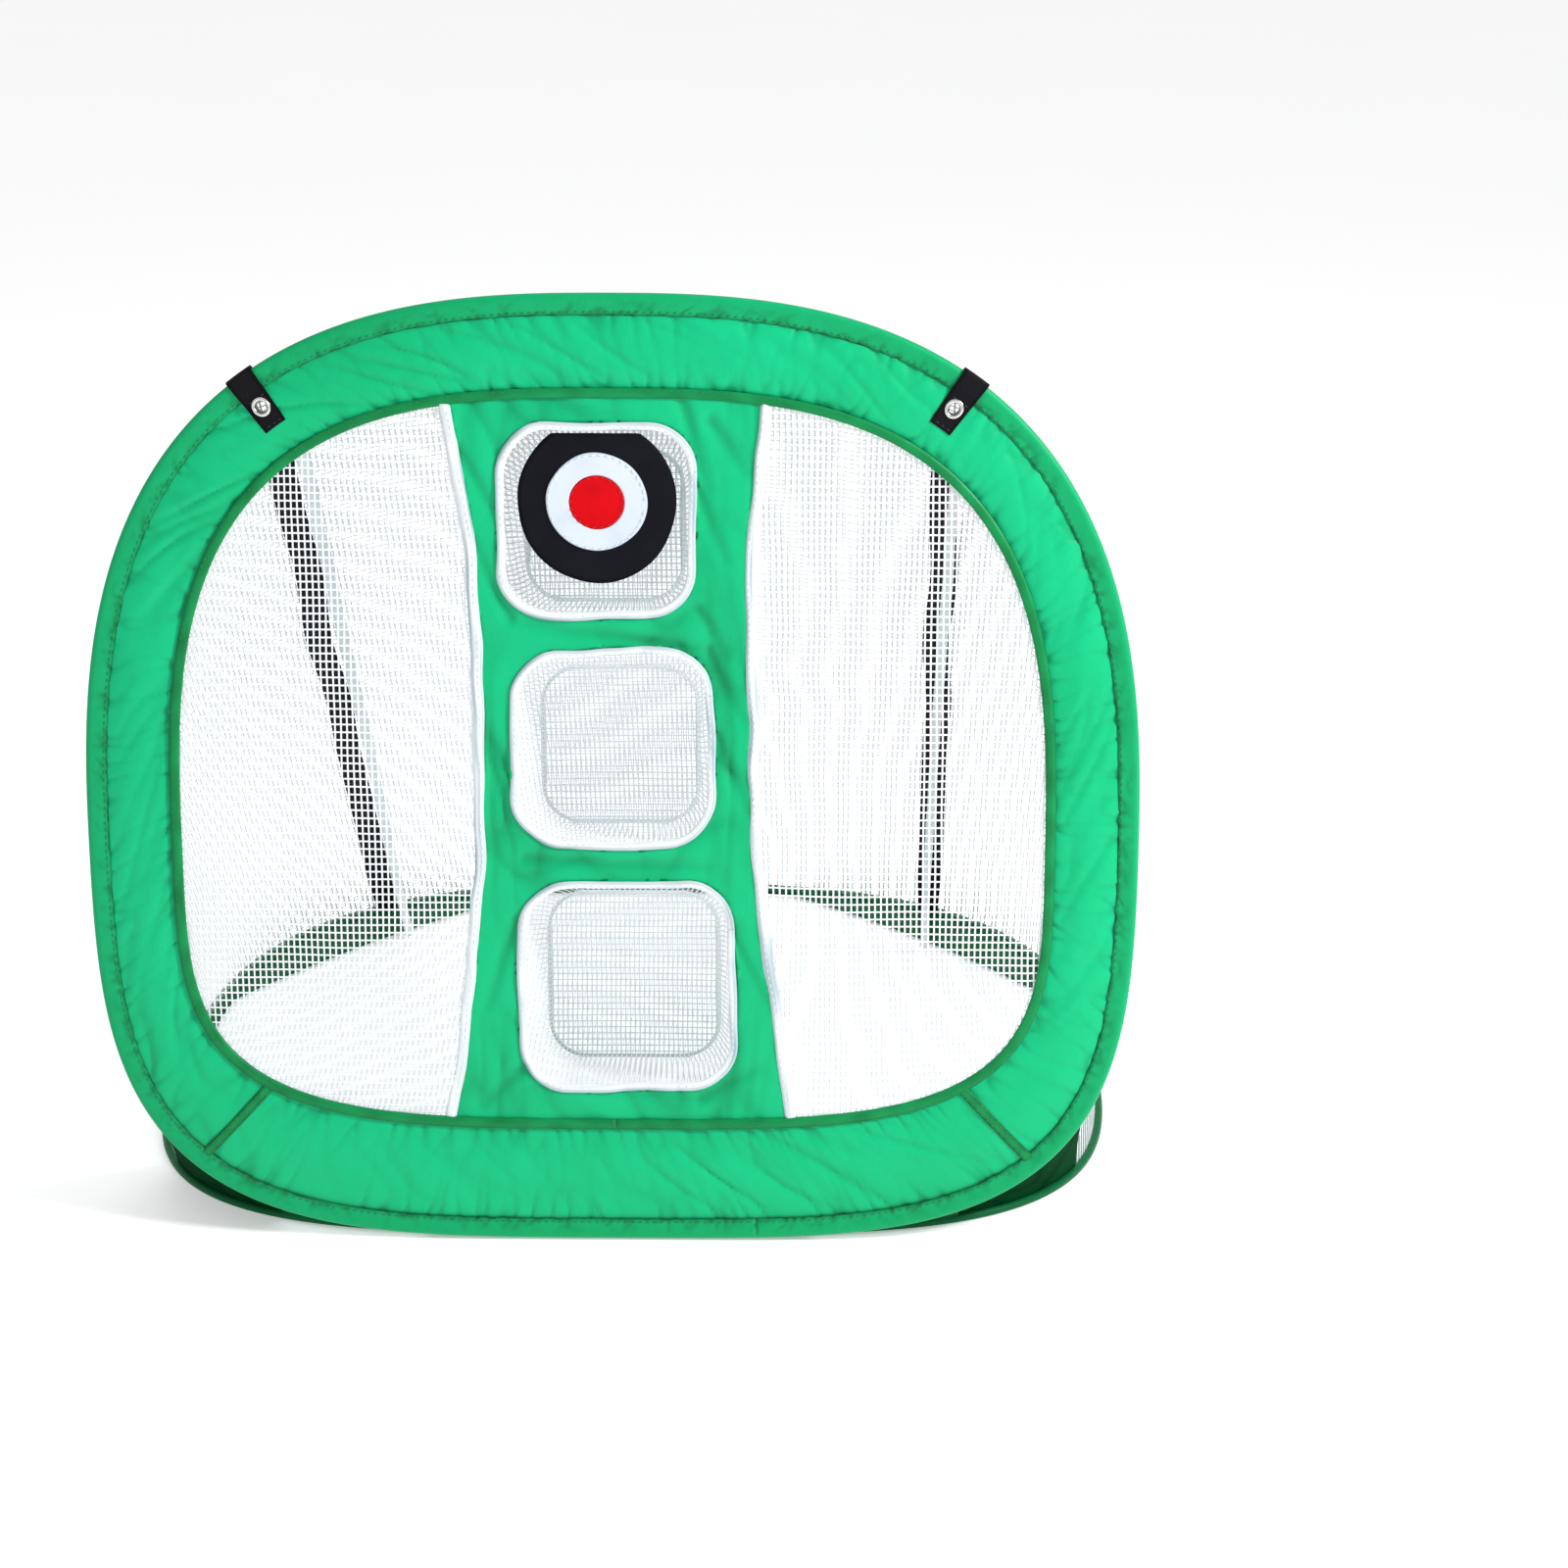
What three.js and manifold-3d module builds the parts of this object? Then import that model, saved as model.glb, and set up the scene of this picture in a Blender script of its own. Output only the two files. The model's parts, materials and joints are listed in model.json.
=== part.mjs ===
// A pop-up golf chipping net: a target panel in a springy hoop that stands on an equal hoop
// lying on the ground.
import * as THREE from "three";
import { mergeVertices } from "three/addons/utils/BufferGeometryUtils.js";
import Module from "manifold-3d";

const wasm = await Module();
wasm.setup();

// Driving dimensions, in millimetres and degrees. +Z is up, -Y is the player's side, and the
// origin is on the ground under the middle of the ground hoop's front edge.
const hoopWidth = 735;
const hoopHeight = 680; // measured in the hoop's own plane
const leanBack = 5; // of the standing hoop, from the vertical
const windowWidth = 606; // the opening inside the standing hoop's fabric border
const windowBottom = 90;
const windowTop = 610;
const bellyHeight = 290; // where hoop and window are widest
const wireDiameter = 2.5;
const sleeveWidth = 15; // the folded tape that holds the spring wire
const clothHalf = 0.9; // half the thickness of a sewn fabric panel
const gap = 0.3; // between pieces that touch
const seamAllowance = 0.9; // between curved edges that lie side by side
const webbingWidth = 20;
const webbingThickness = 1.2;
const pocketDepth = 92;

// Sizes that follow from the ones above
const sleeveHalf = wireDiameter / 2 + 1.75; // half the thickness of the wire sleeve
const sleeveWall = 0.8;
const joinerLength = 30;
const joinerWall = 0.3;
const clothInSleeve = sleeveWidth - 6; // how far from the hoop's edge the cloth inside a sleeve starts
const bindingWidth = 6;
const edgeTape = 7; // white tape down each side of the target panel
const holeTape = 5.5; // white tape round each hole
const foldSeam = 0.9;
const hingeY = -sleeveWidth / 2 - foldSeam - 2 * gap;
const hingeZ = 2 * sleeveHalf;
const edgeBelowHinge = hingeZ - 1; // keeps the standing hoop 1 mm off the ground

const hoopShape = { halfWidth: hoopWidth / 2, bottom: 0, top: hoopHeight, topPower: 2.7, taper: 0.05 };
const windowShape = {
  halfWidth: windowWidth / 2,
  bottom: windowBottom,
  top: windowTop,
  topPower: 3,
  taper: 0,
};
const cornerPower = 3.8; // how square the two lower corners are

// The three holes from the top down: how far aside each is sewn, height of the centre, width and height
const holes = [
  { name: "top", aside: -8.5, centre: 525, width: 137, height: 134 },
  { name: "middle", aside: 1, centre: 364, width: 138, height: 141 },
  { name: "bottom", aside: 9, centre: 190, width: 152, height: 154 },
];
const holeCorner = 34;
// How far the target panel reaches to each side at its top and foot, and the pull at its waist
const panelReach = {
  right: { top: 105, waist: 77, foot: 123 },
  left: { top: 110, waist: 63, foot: 116 },
};
const target = { halfWidth: 54, drop: 58, white: 34.5, red: 19, flatTop: 48, centre: 537, aside: -8.5 };

// Places on a hoop, each as the point of the outline nearest to (x, height in the plane)
const places = {
  tab: [249, 625],
  netSeam: [276, 598],
  goreStart: [250, 22],
  netStart: [340, 110],
  mitreAtHoop: [306, 50],
  mitreAtWindow: [249, 111],
  gussetStart: [360, 400],
  gussetEnd: [105, 672],
  wireJoint: [100, 0],
};
const gussetBow = [24, 22]; // how far the gusset's inner edge bows towards the corner
const mitreWidth = 7;
const tabLength = 41; // on the front; the back is shorter
const tabBackLength = 33;
const eyeletInset = 24.8; // of the eyelet's centre from the hoop's edge
const eyelet = { hole: 4.1, barrel: 5, bore: 5.3, flange: 7 };
const foldSeamLength = 280;
// The tape beside each strap: its width, how far inside the hoops its ends are, and how far along
// them from the strap's ends, anticlockwise
const seamTape = {
  width: 12,
  inset: 38,
  groundInset: 78,
  right: { above: -17, ground: -62 },
  left: { above: -17, ground: 20 },
};

const deg = Math.PI / 180;
const green = { color: 0x26c98a, roughness: 0.55, metalness: 0 };
const darkGreen = { color: 0x12915a, roughness: 0.6, metalness: 0 };
const mesh = { color: 0xf4f5f7, roughness: 0.7, metalness: 0 };
const whiteTape = { color: 0xeef3f3, roughness: 0.65, metalness: 0 };
const webbing = { color: 0x17181c, roughness: 0.75, metalness: 0 };
const springSteel = { color: 0x9a9ca0, roughness: 0.35, metalness: 1 };
const nickel = { color: 0xc9c6c0, roughness: 0.3, metalness: 1 };
const blackCloth = { color: 0x1e2026, roughness: 0.6, metalness: 0 };
const whiteCloth = { color: 0xdde3ea, roughness: 0.6, metalness: 0 };
const redCloth = { color: 0xde1c2b, roughness: 0.6, metalness: 0 };

function addMesh(group, name, geometry, finish) {
  const piece = new THREE.Mesh(geometry, new THREE.MeshStandardMaterial(finish));
  piece.name = name;
  group.add(piece);
}

// Solids for the few joins and cuts

function toSolid(geometry) {
  const plain = geometry.clone();
  plain.deleteAttribute("normal");
  plain.deleteAttribute("uv");
  const merged = mergeVertices(plain, 1e-4);
  const vertProperties = new Float32Array(merged.attributes.position.array);
  const triVerts = new Uint32Array(merged.index.array);
  return new wasm.Manifold(new wasm.Mesh({ numProp: 3, vertProperties, triVerts }));
}

function toGeometry(solid) {
  const made = solid.getMesh();
  const geometry = new THREE.BufferGeometry();
  geometry.setAttribute("position", new THREE.BufferAttribute(made.vertProperties, 3));
  geometry.setIndex(new THREE.BufferAttribute(made.triVerts, 1));
  geometry.computeVertexNormals();
  return geometry;
}

const cut = (geometry, tool) => toGeometry(toSolid(geometry).subtract(toSolid(tool)));
const common = (one, other) => toGeometry(toSolid(one).intersect(toSolid(other)));

// Outlines. Both are rounded superellipses, widest at the belly, as closed curves that run
// anticlockwise from the middle of the bottom edge.

function outline({ halfWidth, bottom, top, topPower, taper }) {
  const quarter = 40;
  const side = [];
  for (let i = 0; i <= 2 * quarter; i++) {
    const turn = (i / quarter - 1) * 90 * deg;
    const power = turn < 0 ? cornerPower : topPower;
    const rise = Math.sign(turn) * Math.abs(Math.sin(turn)) ** (2 / power);
    const reach = Math.abs(Math.cos(turn)) ** (2 / power);
    const narrowing = turn < 0 ? 1 - taper * rise * rise : 1;
    const span = turn < 0 ? bellyHeight - bottom : top - bellyHeight;
    side.push(new THREE.Vector2(halfWidth * reach * narrowing, bellyHeight + rise * span));
  }
  const otherSide = side.slice(1, -1).map((p) => new THREE.Vector2(-p.x, p.y));
  const curve = new THREE.SplineCurve([...side, ...otherSide.reverse(), side[0]]);
  curve.arcLengthDivisions = 1200;
  return curve;
}

const hoop = outline(hoopShape);
const windowEdge = outline(windowShape);
const perimeter = hoop.getLength();

// The point a distance inside a closed outline, and the inward direction there
function insidePoint(curve, share, inset) {
  const u = ((share % 1) + 1) % 1;
  const point = curve.getPointAt(u);
  const along = curve.getTangentAt(u);
  const inward = new THREE.Vector2(-along.y, along.x);
  return { point: point.addScaledVector(inward, inset), inward, along };
}

function insideLine(curve, from, to, inset, steps) {
  const line = [];
  for (let i = 0; i <= steps; i++) {
    line.push(insidePoint(curve, from + ((to - from) * i) / steps, inset).point);
  }
  return line;
}

// The share of the outline's length at the place nearest a given point
function shareNear(curve, [x, y]) {
  const wanted = new THREE.Vector2(x, y);
  let best = 0;
  for (let u = 0; u < 1; u += 0.0005) {
    if (curve.getPointAt(u).distanceTo(wanted) < curve.getPointAt(best).distanceTo(wanted)) best = u;
  }
  return best;
}

function plate(shape, back, front) {
  const settings = { depth: front - back, bevelEnabled: false, curveSegments: 6 };
  return new THREE.ExtrudeGeometry(shape, settings).translate(0, 0, back);
}

function rectangle(x0, y0, x1, y1) {
  return new THREE.Shape([
    new THREE.Vector2(x0, y0),
    new THREE.Vector2(x1, y0),
    new THREE.Vector2(x1, y1),
    new THREE.Vector2(x0, y1),
  ]);
}

// Sweeps a section (x inwards from the outline, y off the hoop's plane) along part of an outline.
function sweep(section, curve, { from, to, steps, curveSegments }) {
  const swept = new THREE.ExtrudeGeometry(section, { depth: 1, steps, bevelEnabled: false, curveSegments });
  const at = swept.attributes.position;
  for (let i = 0; i < at.count; i++) {
    const { point } = insidePoint(curve, from + (to - from) * at.getZ(i), at.getX(i));
    at.setXYZ(i, point.x, point.y, at.getY(i));
  }
  return swept;
}

// The hoop's spring wire, the tube that joins its ends, and the tape sleeve folded round them

function roundSection(radius, hole) {
  const section = new THREE.Shape();
  section.absarc(sleeveHalf, 0, radius, 0, 2 * Math.PI);
  if (hole) {
    const bore = new THREE.Path();
    bore.absarc(sleeveHalf, 0, hole, 0, 2 * Math.PI);
    section.holes.push(bore);
  }
  return section;
}

function sleeveSection() {
  const inner = sleeveHalf - sleeveWall;
  const section = new THREE.Shape();
  section.moveTo(sleeveWidth, -inner);
  section.lineTo(sleeveHalf, -inner);
  section.absarc(sleeveHalf, 0, inner, -90 * deg, 90 * deg, true);
  section.lineTo(sleeveWidth, inner);
  section.lineTo(sleeveWidth, sleeveHalf);
  section.lineTo(sleeveHalf, sleeveHalf);
  section.absarc(sleeveHalf, 0, sleeveHalf, 90 * deg, -90 * deg, false);
  section.lineTo(sleeveWidth, -sleeveHalf);
  return section;
}

function hoopPieces(group, name, joint) {
  const open = gap / perimeter;
  const allRound = { from: joint + open, to: joint + 1 - open, steps: 89 };
  const wire = sweep(roundSection(wireDiameter / 2), hoop, { ...allRound, curveSegments: 3 });
  addMesh(group, name + "_hoop_wire", wire, springSteel);
  const half = joinerLength / 2 / perimeter;
  const overJoint = { from: joint - half, to: joint + half, steps: 4, curveSegments: 3 };
  const joinerBore = wireDiameter / 2 + gap;
  const joiner = sweep(roundSection(joinerBore + joinerWall, joinerBore), hoop, overJoint);
  addMesh(group, name + "_wire_joiner", joiner, nickel);
  const sleeve = sweep(sleeveSection(), hoop, { ...allRound, curveSegments: 2 });
  addMesh(group, name + "_sleeve", sleeve, name === "ground" ? darkGreen : green);
}

// The ground hoop: floor net and two corner gussets held in its sleeve

function gussetShape(side) {
  const start = shareNear(hoop, places.gussetStart);
  const end = shareNear(hoop, places.gussetEnd);
  const outer = insideLine(hoop, start, end, clothInSleeve, 16);
  const first = outer[0];
  const last = outer[outer.length - 1];
  const bow = first.clone().lerp(last, 0.5).add(new THREE.Vector2(...gussetBow));
  const inner = new THREE.QuadraticBezierCurve(last, bow, first).getPoints(8).slice(1, -1);
  const line = [...outer, ...inner].map((p) => new THREE.Vector2(side * p.x, p.y));
  return new THREE.Shape(line);
}

function groundHoop(group) {
  hoopPieces(group, "ground", 0.5);
  const floor = new THREE.Shape(insideLine(hoop, 0, 1, clothInSleeve, 72).slice(0, -1));
  const floorTop = -0.4;
  const gussetBottom = floorTop + gap;
  addMesh(group, "floor_net", plate(floor, -1.5, floorTop), mesh);
  const gussetTop = gussetBottom + 1.2;
  addMesh(group, "ground_corner_right", plate(gussetShape(1), gussetBottom, gussetTop), darkGreen);
  addMesh(group, "ground_corner_left", plate(gussetShape(-1), gussetBottom, gussetTop), darkGreen);
}

// The standing hoop's border: an arch and a foot panel that meet in two mitred seams

const mitre = {
  window: shareNear(windowEdge, places.mitreAtWindow),
  hoop: shareNear(hoop, places.mitreAtHoop),
};

function borderShape(hoopFrom, hoopTo, windowFrom, windowTo, steps) {
  const outer = insideLine(hoop, hoopFrom, hoopTo, clothInSleeve, steps);
  const inner = insideLine(windowEdge, windowFrom, windowTo, -bindingWidth - seamAllowance, steps);
  return new THREE.Shape([...outer, ...inner.reverse()]);
}

function ringShape(curve, outerInset, innerInset, steps) {
  const shape = new THREE.Shape(insideLine(curve, 0, 1, outerInset, steps).slice(0, -1));
  shape.holes.push(new THREE.Path(insideLine(curve, 0, 1, innerInset, steps).slice(0, -1)));
  return shape;
}

function mitreSeam(side) {
  const inner = insidePoint(windowEdge, mitre.window, -bindingWidth - 1).point;
  const outer = insidePoint(hoop, mitre.hoop, sleeveWidth + 1).point;
  const along = outer.clone().sub(inner);
  const flat = rectangle(0, -mitreWidth / 2, along.length(), mitreWidth / 2);
  const strip = plate(flat, clothHalf + gap, clothHalf + gap + 0.7);
  strip.rotateZ(side > 0 ? along.angle() : Math.PI - along.angle());
  return strip.translate(side * inner.x, inner.y, 0);
}

function border(group) {
  const slit = gap / 2 / perimeter;
  const archHoop = mitre.hoop + slit;
  const archWindow = mitre.window + slit;
  const arch = borderShape(archHoop, 1 - archHoop, archWindow, 1 - archWindow, 84);
  const footHoop = mitre.hoop - slit;
  const footWindow = mitre.window - slit;
  const foot = borderShape(-footHoop, footHoop, -footWindow, footWindow, 24);
  let archPlate = plate(arch, -clothHalf, clothHalf);
  for (const { place } of tabs) archPlate = cut(archPlate, eyeletBore(place));
  addMesh(group, "border_arch", archPlate, green);
  addMesh(group, "border_foot", plate(foot, -clothHalf, clothHalf), green);
  const binding = ringShape(windowEdge, -bindingWidth, 0, 96);
  addMesh(group, "border_binding", plate(binding, -clothHalf - 0.5, clothHalf + 0.5), darkGreen);
  addMesh(group, "mitre_seam_right", mitreSeam(1), darkGreen);
  addMesh(group, "mitre_seam_left", mitreSeam(-1), darkGreen);
}

// The window: the target panel with its tapes between two mesh panels, all cut from one plate

function panelEdge(side, outward) {
  const reach = side > 0 ? panelReach.right : panelReach.left;
  const top = new THREE.Vector2(side * (reach.top + outward), windowTop + 5);
  const waist = new THREE.Vector2(side * (reach.waist + outward), 0.6 * windowTop);
  const foot = new THREE.Vector2(side * (reach.foot + outward), windowBottom - 5);
  return new THREE.QuadraticBezierCurve(top, waist, foot).getPoints(12);
}

function cutFromWindow(shape, half) {
  const inner = new THREE.Shape(insideLine(windowEdge, 0, 1, gap, 96).slice(0, -1));
  return common(plate(inner, -half, half), plate(shape, -5, 5));
}

function holePath(hole, inset) {
  const x = hole.width / 2 - inset;
  const y = hole.height / 2 - inset;
  const r = holeCorner - inset / 2;
  const right = hole.aside + x - r;
  const left = hole.aside - x + r;
  const path = new THREE.Shape();
  path.absarc(right, hole.centre + y - r, r, 0, 90 * deg);
  path.absarc(left, hole.centre + y - r, r, 90 * deg, 180 * deg);
  path.absarc(left, hole.centre - y + r, r, 180 * deg, 270 * deg);
  path.absarc(right, hole.centre - y + r, r, 270 * deg, 360 * deg);
  return path;
}

function windowPieces(group) {
  const panel = new THREE.Shape([...panelEdge(-1, 0), ...panelEdge(1, 0).reverse()]);
  for (const hole of holes) panel.holes.push(new THREE.Path(holePath(hole, 0).getPoints(5)));
  addMesh(group, "target_panel", cutFromWindow(panel, clothHalf), green);
  for (const [side, word] of [
    [1, "right"],
    [-1, "left"],
  ]) {
    const tape = [...panelEdge(side, gap), ...panelEdge(side, edgeTape).reverse()];
    addMesh(group, "panel_tape_" + word, cutFromWindow(new THREE.Shape(tape), clothHalf + 0.4), whiteTape);
    const far = (side * hoopWidth) / 2;
    const netEdge = panelEdge(side, edgeTape + gap);
    const net = [...netEdge, new THREE.Vector2(far, 0), new THREE.Vector2(far, hoopHeight)];
    addMesh(group, "window_net_" + word, cutFromWindow(new THREE.Shape(net), 0.6), mesh);
  }
}

// A pocket of net hangs behind each hole: a rounded bag, open at its mouth

function pocketRing(hole, share, wall) {
  const narrowing = 1 - 0.16 * share ** 2;
  const middle = new THREE.Vector3(hole.aside, hole.centre - 20 * share, -pocketDepth * share);
  return holePath({ ...hole, aside: 0, centre: 0 }, 2.5 + wall)
    .getPoints(5)
    .slice(0, -1)
    .map((p) => new THREE.Vector3(p.x * narrowing, p.y * narrowing, 0).add(middle));
}

function pocket(hole) {
  const shares = [0, 0.35, 0.7, 1];
  const mouth = -clothHalf - 0.7 - gap;
  const rings = [
    ...shares.map((share) => pocketRing(hole, share, 0)),
    ...shares.map((share) => pocketRing(hole, share * 0.985, 1.4)).reverse(),
  ];
  const around = rings[0].length;
  const points = rings.flat().map((p) => p.setZ(p.z + mouth));
  const index = [];
  const side = (low, high) => {
    for (let i = 0; i < around; i++) {
      const next = (i + 1) % around;
      index.push(low + i, high + next, low + next, low + i, high + i, high + next);
    }
  };
  for (let k = 0; k < rings.length; k++) {
    if (k !== shares.length - 1) side(k * around, ((k + 1) % rings.length) * around);
  }
  for (const k of [shares.length - 1, shares.length]) {
    const facing = k === shares.length ? 1 : -1;
    const middle = points.length;
    const centre = new THREE.Vector3();
    for (const p of rings[k]) centre.addScaledVector(p, 1 / around);
    points.push(centre);
    for (let i = 0; i < around; i++) {
      const a = k * around + i;
      const b = k * around + ((i + 1) % around);
      index.push(middle, ...(facing > 0 ? [a, b] : [b, a]));
    }
  }
  const geometry = new THREE.BufferGeometry().setFromPoints(points);
  geometry.setIndex(index);
  return geometry;
}

function holePieces(group) {
  for (const hole of holes) {
    const tape = holePath(hole, gap);
    tape.holes.push(new THREE.Path(holePath(hole, holeTape).getPoints(5)));
    addMesh(group, "hole_tape_" + hole.name, plate(tape, -clothHalf - 0.4, clothHalf + 0.4), whiteTape);
    addMesh(group, "pocket_net_" + hole.name, pocket(hole), mesh);
  }
}

// Webbing tabs folded over the top corners of the standing hoop, each held by an eyelet

function tabPlace(share) {
  return { ...insidePoint(hoop, share, 0), share };
}

// Lays a shape drawn as (inwards, off the plane, along the hoop) at a place on the hoop.
function layOnHoop(geometry, { point, inward, along }) {
  const turn = new THREE.Matrix4().makeBasis(
    new THREE.Vector3(inward.x, inward.y, 0),
    new THREE.Vector3(0, 0, 1),
    new THREE.Vector3(along.x, along.y, 0),
  );
  return geometry.applyMatrix4(turn).translate(point.x, point.y, 0);
}

function eyeletBore(place) {
  const bore = new THREE.CylinderGeometry(eyelet.bore, eyelet.bore, 20, 20).translate(eyeletInset, 0, 0);
  return layOnHoop(bore, place);
}

function tabShape() {
  const over = sleeveHalf + gap;
  const onCloth = clothHalf + gap;
  const thick = webbingThickness;
  const outside = [
    [tabLength, onCloth],
    [tabLength, onCloth + thick],
    [sleeveWidth + 2.3, onCloth + thick],
    [sleeveWidth + 0.8, over + thick],
    [-0.5, over + thick],
    [-0.5 - thick, over],
  ];
  const inside = [
    [-0.5, over],
    [sleeveWidth + 0.4, over],
    [sleeveWidth + 1.9, onCloth],
  ];
  const mirrored = (list) => list.map(([d, f]) => [Math.min(d, tabBackLength), -f]).reverse();
  const line = [...outside, ...mirrored(outside), ...mirrored(inside), ...inside];
  return new THREE.Shape(line.map(([d, f]) => new THREE.Vector2(d, f)));
}

function eyeletBody() {
  const back = clothHalf + gap + webbingThickness;
  const face = back + gap;
  const profile = [
    [eyelet.hole, -face - 1.2],
    [eyelet.barrel, -face - 1.2],
    [eyelet.barrel, face],
    [eyelet.flange, face],
    [eyelet.flange - 0.3, face + 0.9],
    [eyelet.hole + 0.5, face + 0.9],
    [eyelet.hole, face + 0.4],
  ];
  const line = profile.map(([r, z]) => new THREE.Vector2(r, z));
  return new THREE.LatheGeometry([...line, line[0]], 20).translate(eyeletInset, 0, 0);
}

function eyeletWasher() {
  const face = clothHalf + 2 * gap + webbingThickness;
  const profile = [
    [eyelet.bore, -face - 0.8],
    [eyelet.flange, -face - 0.8],
    [eyelet.flange, -face],
    [eyelet.bore, -face],
  ];
  const line = profile.map(([r, z]) => new THREE.Vector2(r, z));
  return new THREE.LatheGeometry([...line, line[0]], 20).translate(eyeletInset, 0, 0);
}

function tabPieces(group) {
  for (const { word, place } of tabs) {
    const tab = new THREE.ExtrudeGeometry(tabShape(), { depth: webbingWidth, bevelEnabled: false });
    tab.translate(0, 0, -webbingWidth / 2);
    addMesh(group, "strap_tab_" + word, cut(layOnHoop(tab, place), eyeletBore(place)), webbing);
    addMesh(group, "eyelet_" + word, layOnHoop(eyeletBody(), place), nickel);
    addMesh(group, "eyelet_washer_" + word, layOnHoop(eyeletWasher(), place), nickel);
  }
}

// The bullseye hangs from the top edge of the top hole, upright, and swings on its flat edge

function bullseye(group) {
  const rim = Math.asin(target.flatTop / target.drop);
  const backFace = -0.7;
  const frontFace = 0.5;
  const patchBack = frontFace + gap;
  const patchFront = patchBack + 0.8;
  const backing = new THREE.Shape();
  backing.absellipse(0, -target.flatTop, target.halfWidth, target.drop, Math.PI - rim, 2 * Math.PI + rim);
  addMesh(group, "bullseye_backing", plate(backing, backFace, frontFace), blackCloth);
  const ring = new THREE.Shape();
  ring.absarc(0, -target.flatTop, target.white, 0, 2 * Math.PI);
  const middle = new THREE.Path();
  middle.absarc(0, -target.flatTop, target.red + gap, 0, 2 * Math.PI);
  ring.holes.push(middle);
  addMesh(group, "bullseye_white_ring", plate(ring, patchBack, patchFront), whiteCloth);
  const centre = new THREE.Shape();
  centre.absarc(0, -target.flatTop, target.red, 0, 2 * Math.PI);
  addMesh(group, "bullseye_red_centre", plate(centre, patchBack, patchFront), redCloth);
}

// Sheets and straps stretched from the back of the standing hoop to the top of the ground hoop,
// each meeting the ground hoop at the same place along it, or shifted from there

function stretched(ends, from, to, steps) {
  const { frontInset, frontDepth, groundInset, groundShift = 0, thickness } = ends;
  const points = [];
  for (let i = 0; i <= steps; i++) {
    const share = from + ((to - from) * i) / steps;
    const high = insidePoint(hoop, share, frontInset).point;
    const low = insidePoint(hoop, share + groundShift, groundInset).point;
    const front = standing.localToWorld(new THREE.Vector3(high.x, high.y, -frontDepth - thickness));
    const ground = lying.localToWorld(new THREE.Vector3(low.x, low.y, sleeveHalf + gap + thickness));
    const along = hoop.getTangentAt(share);
    const run = new THREE.Vector3(along.x, (along.y * (1 + leanBack * deg)) / 2, along.y / 2);
    const inwards = run.clone().cross(ground.clone().sub(front)).normalize();
    const shift = inwards.multiplyScalar(-thickness);
    points.push(front, ground, ground.clone().add(shift), front.clone().add(shift));
  }
  const index = [];
  for (let i = 0; i < steps; i++) {
    for (let k = 0; k < 4; k++) {
      const a = 4 * i + k;
      const b = 4 * i + ((k + 1) % 4);
      index.push(a, b + 4, b, a, a + 4, b + 4);
    }
  }
  const last = 4 * steps;
  index.push(0, 1, 2, 0, 2, 3, last, last + 2, last + 1, last, last + 3, last + 2);
  const geometry = new THREE.BufferGeometry().setFromPoints(points);
  geometry.setIndex(index);
  return geometry;
}

function stretchedPieces(group) {
  const seam = shareNear(hoop, places.netSeam);
  const start = shareNear(hoop, places.netStart);
  const goreStart = shareNear(hoop, places.goreStart);
  const slit = gap / 2 / perimeter;
  const behindTab = sleeveHalf + webbingThickness + 2 * gap;
  const behindCloth = clothHalf + 0.7;
  const net = {
    frontInset: sleeveWidth + 2,
    frontDepth: behindTab,
    groundInset: sleeveWidth - 4,
    thickness: 1,
  };
  const strap = {
    frontInset: 36,
    frontDepth: behindCloth,
    groundInset: 22,
    thickness: webbingThickness,
  };
  addMesh(group, "front_gore_right", stretched(net, goreStart, start - slit, 6), darkGreen);
  addMesh(group, "side_net_right", stretched(net, start, seam - slit, 20), mesh);
  addMesh(group, "rear_net", stretched(net, seam + slit, 1 - seam - slit, 32), mesh);
  addMesh(group, "side_net_left", stretched(net, 1 - seam + slit, 1 - start, 20), mesh);
  addMesh(group, "front_gore_left", stretched(net, 1 - start + slit, 1 - goreStart, 6), darkGreen);
  const strapHalf = webbingWidth / 2 / perimeter;
  const tapeHalf = seamTape.width / 2 / perimeter;
  for (const { word, side, place } of tabs) {
    const strapAt = place.share;
    const aside = side > 0 ? seamTape.right : seamTape.left;
    const tapeAt = strapAt + aside.above / perimeter;
    const tape = {
      frontInset: seamTape.inset,
      frontDepth: behindCloth,
      groundInset: seamTape.groundInset,
      groundShift: (aside.ground - aside.above) / perimeter,
      thickness: 0.8,
    };
    const strapSheet = stretched(strap, strapAt - strapHalf, strapAt + strapHalf, 2);
    const tapeSheet = stretched(tape, tapeAt - tapeHalf, tapeAt + tapeHalf, 2);
    addMesh(group, "strap_" + word, strapSheet, webbing);
    addMesh(group, "net_seam_tape_" + word, tapeSheet, whiteTape);
  }
}

// Assembly: the lying group holds the ground hoop, the standing group everything that folds down

const chippingNet = new THREE.Group();

const lying = new THREE.Group();
lying.position.set(0, -sleeveWidth / 2, sleeveHalf);
chippingNet.add(lying);

const foldHinge = new THREE.Group();
foldHinge.position.set(0, hingeY, hingeZ);
foldHinge.rotation.x = (90 - leanBack) * deg;
chippingNet.add(foldHinge);

const standing = new THREE.Group();
standing.position.set(0, -edgeBelowHinge, sleeveHalf + gap);
foldHinge.add(standing);
chippingNet.updateMatrixWorld(true);

const tabShare = shareNear(hoop, places.tab);
const tabs = [
  { word: "right", side: 1, place: tabPlace(tabShare) },
  { word: "left", side: -1, place: tabPlace(1 - tabShare) },
];

groundHoop(lying);
hoopPieces(standing, "front", shareNear(hoop, places.wireJoint));
border(standing);
windowPieces(standing);
holePieces(standing);
tabPieces(standing);

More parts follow.
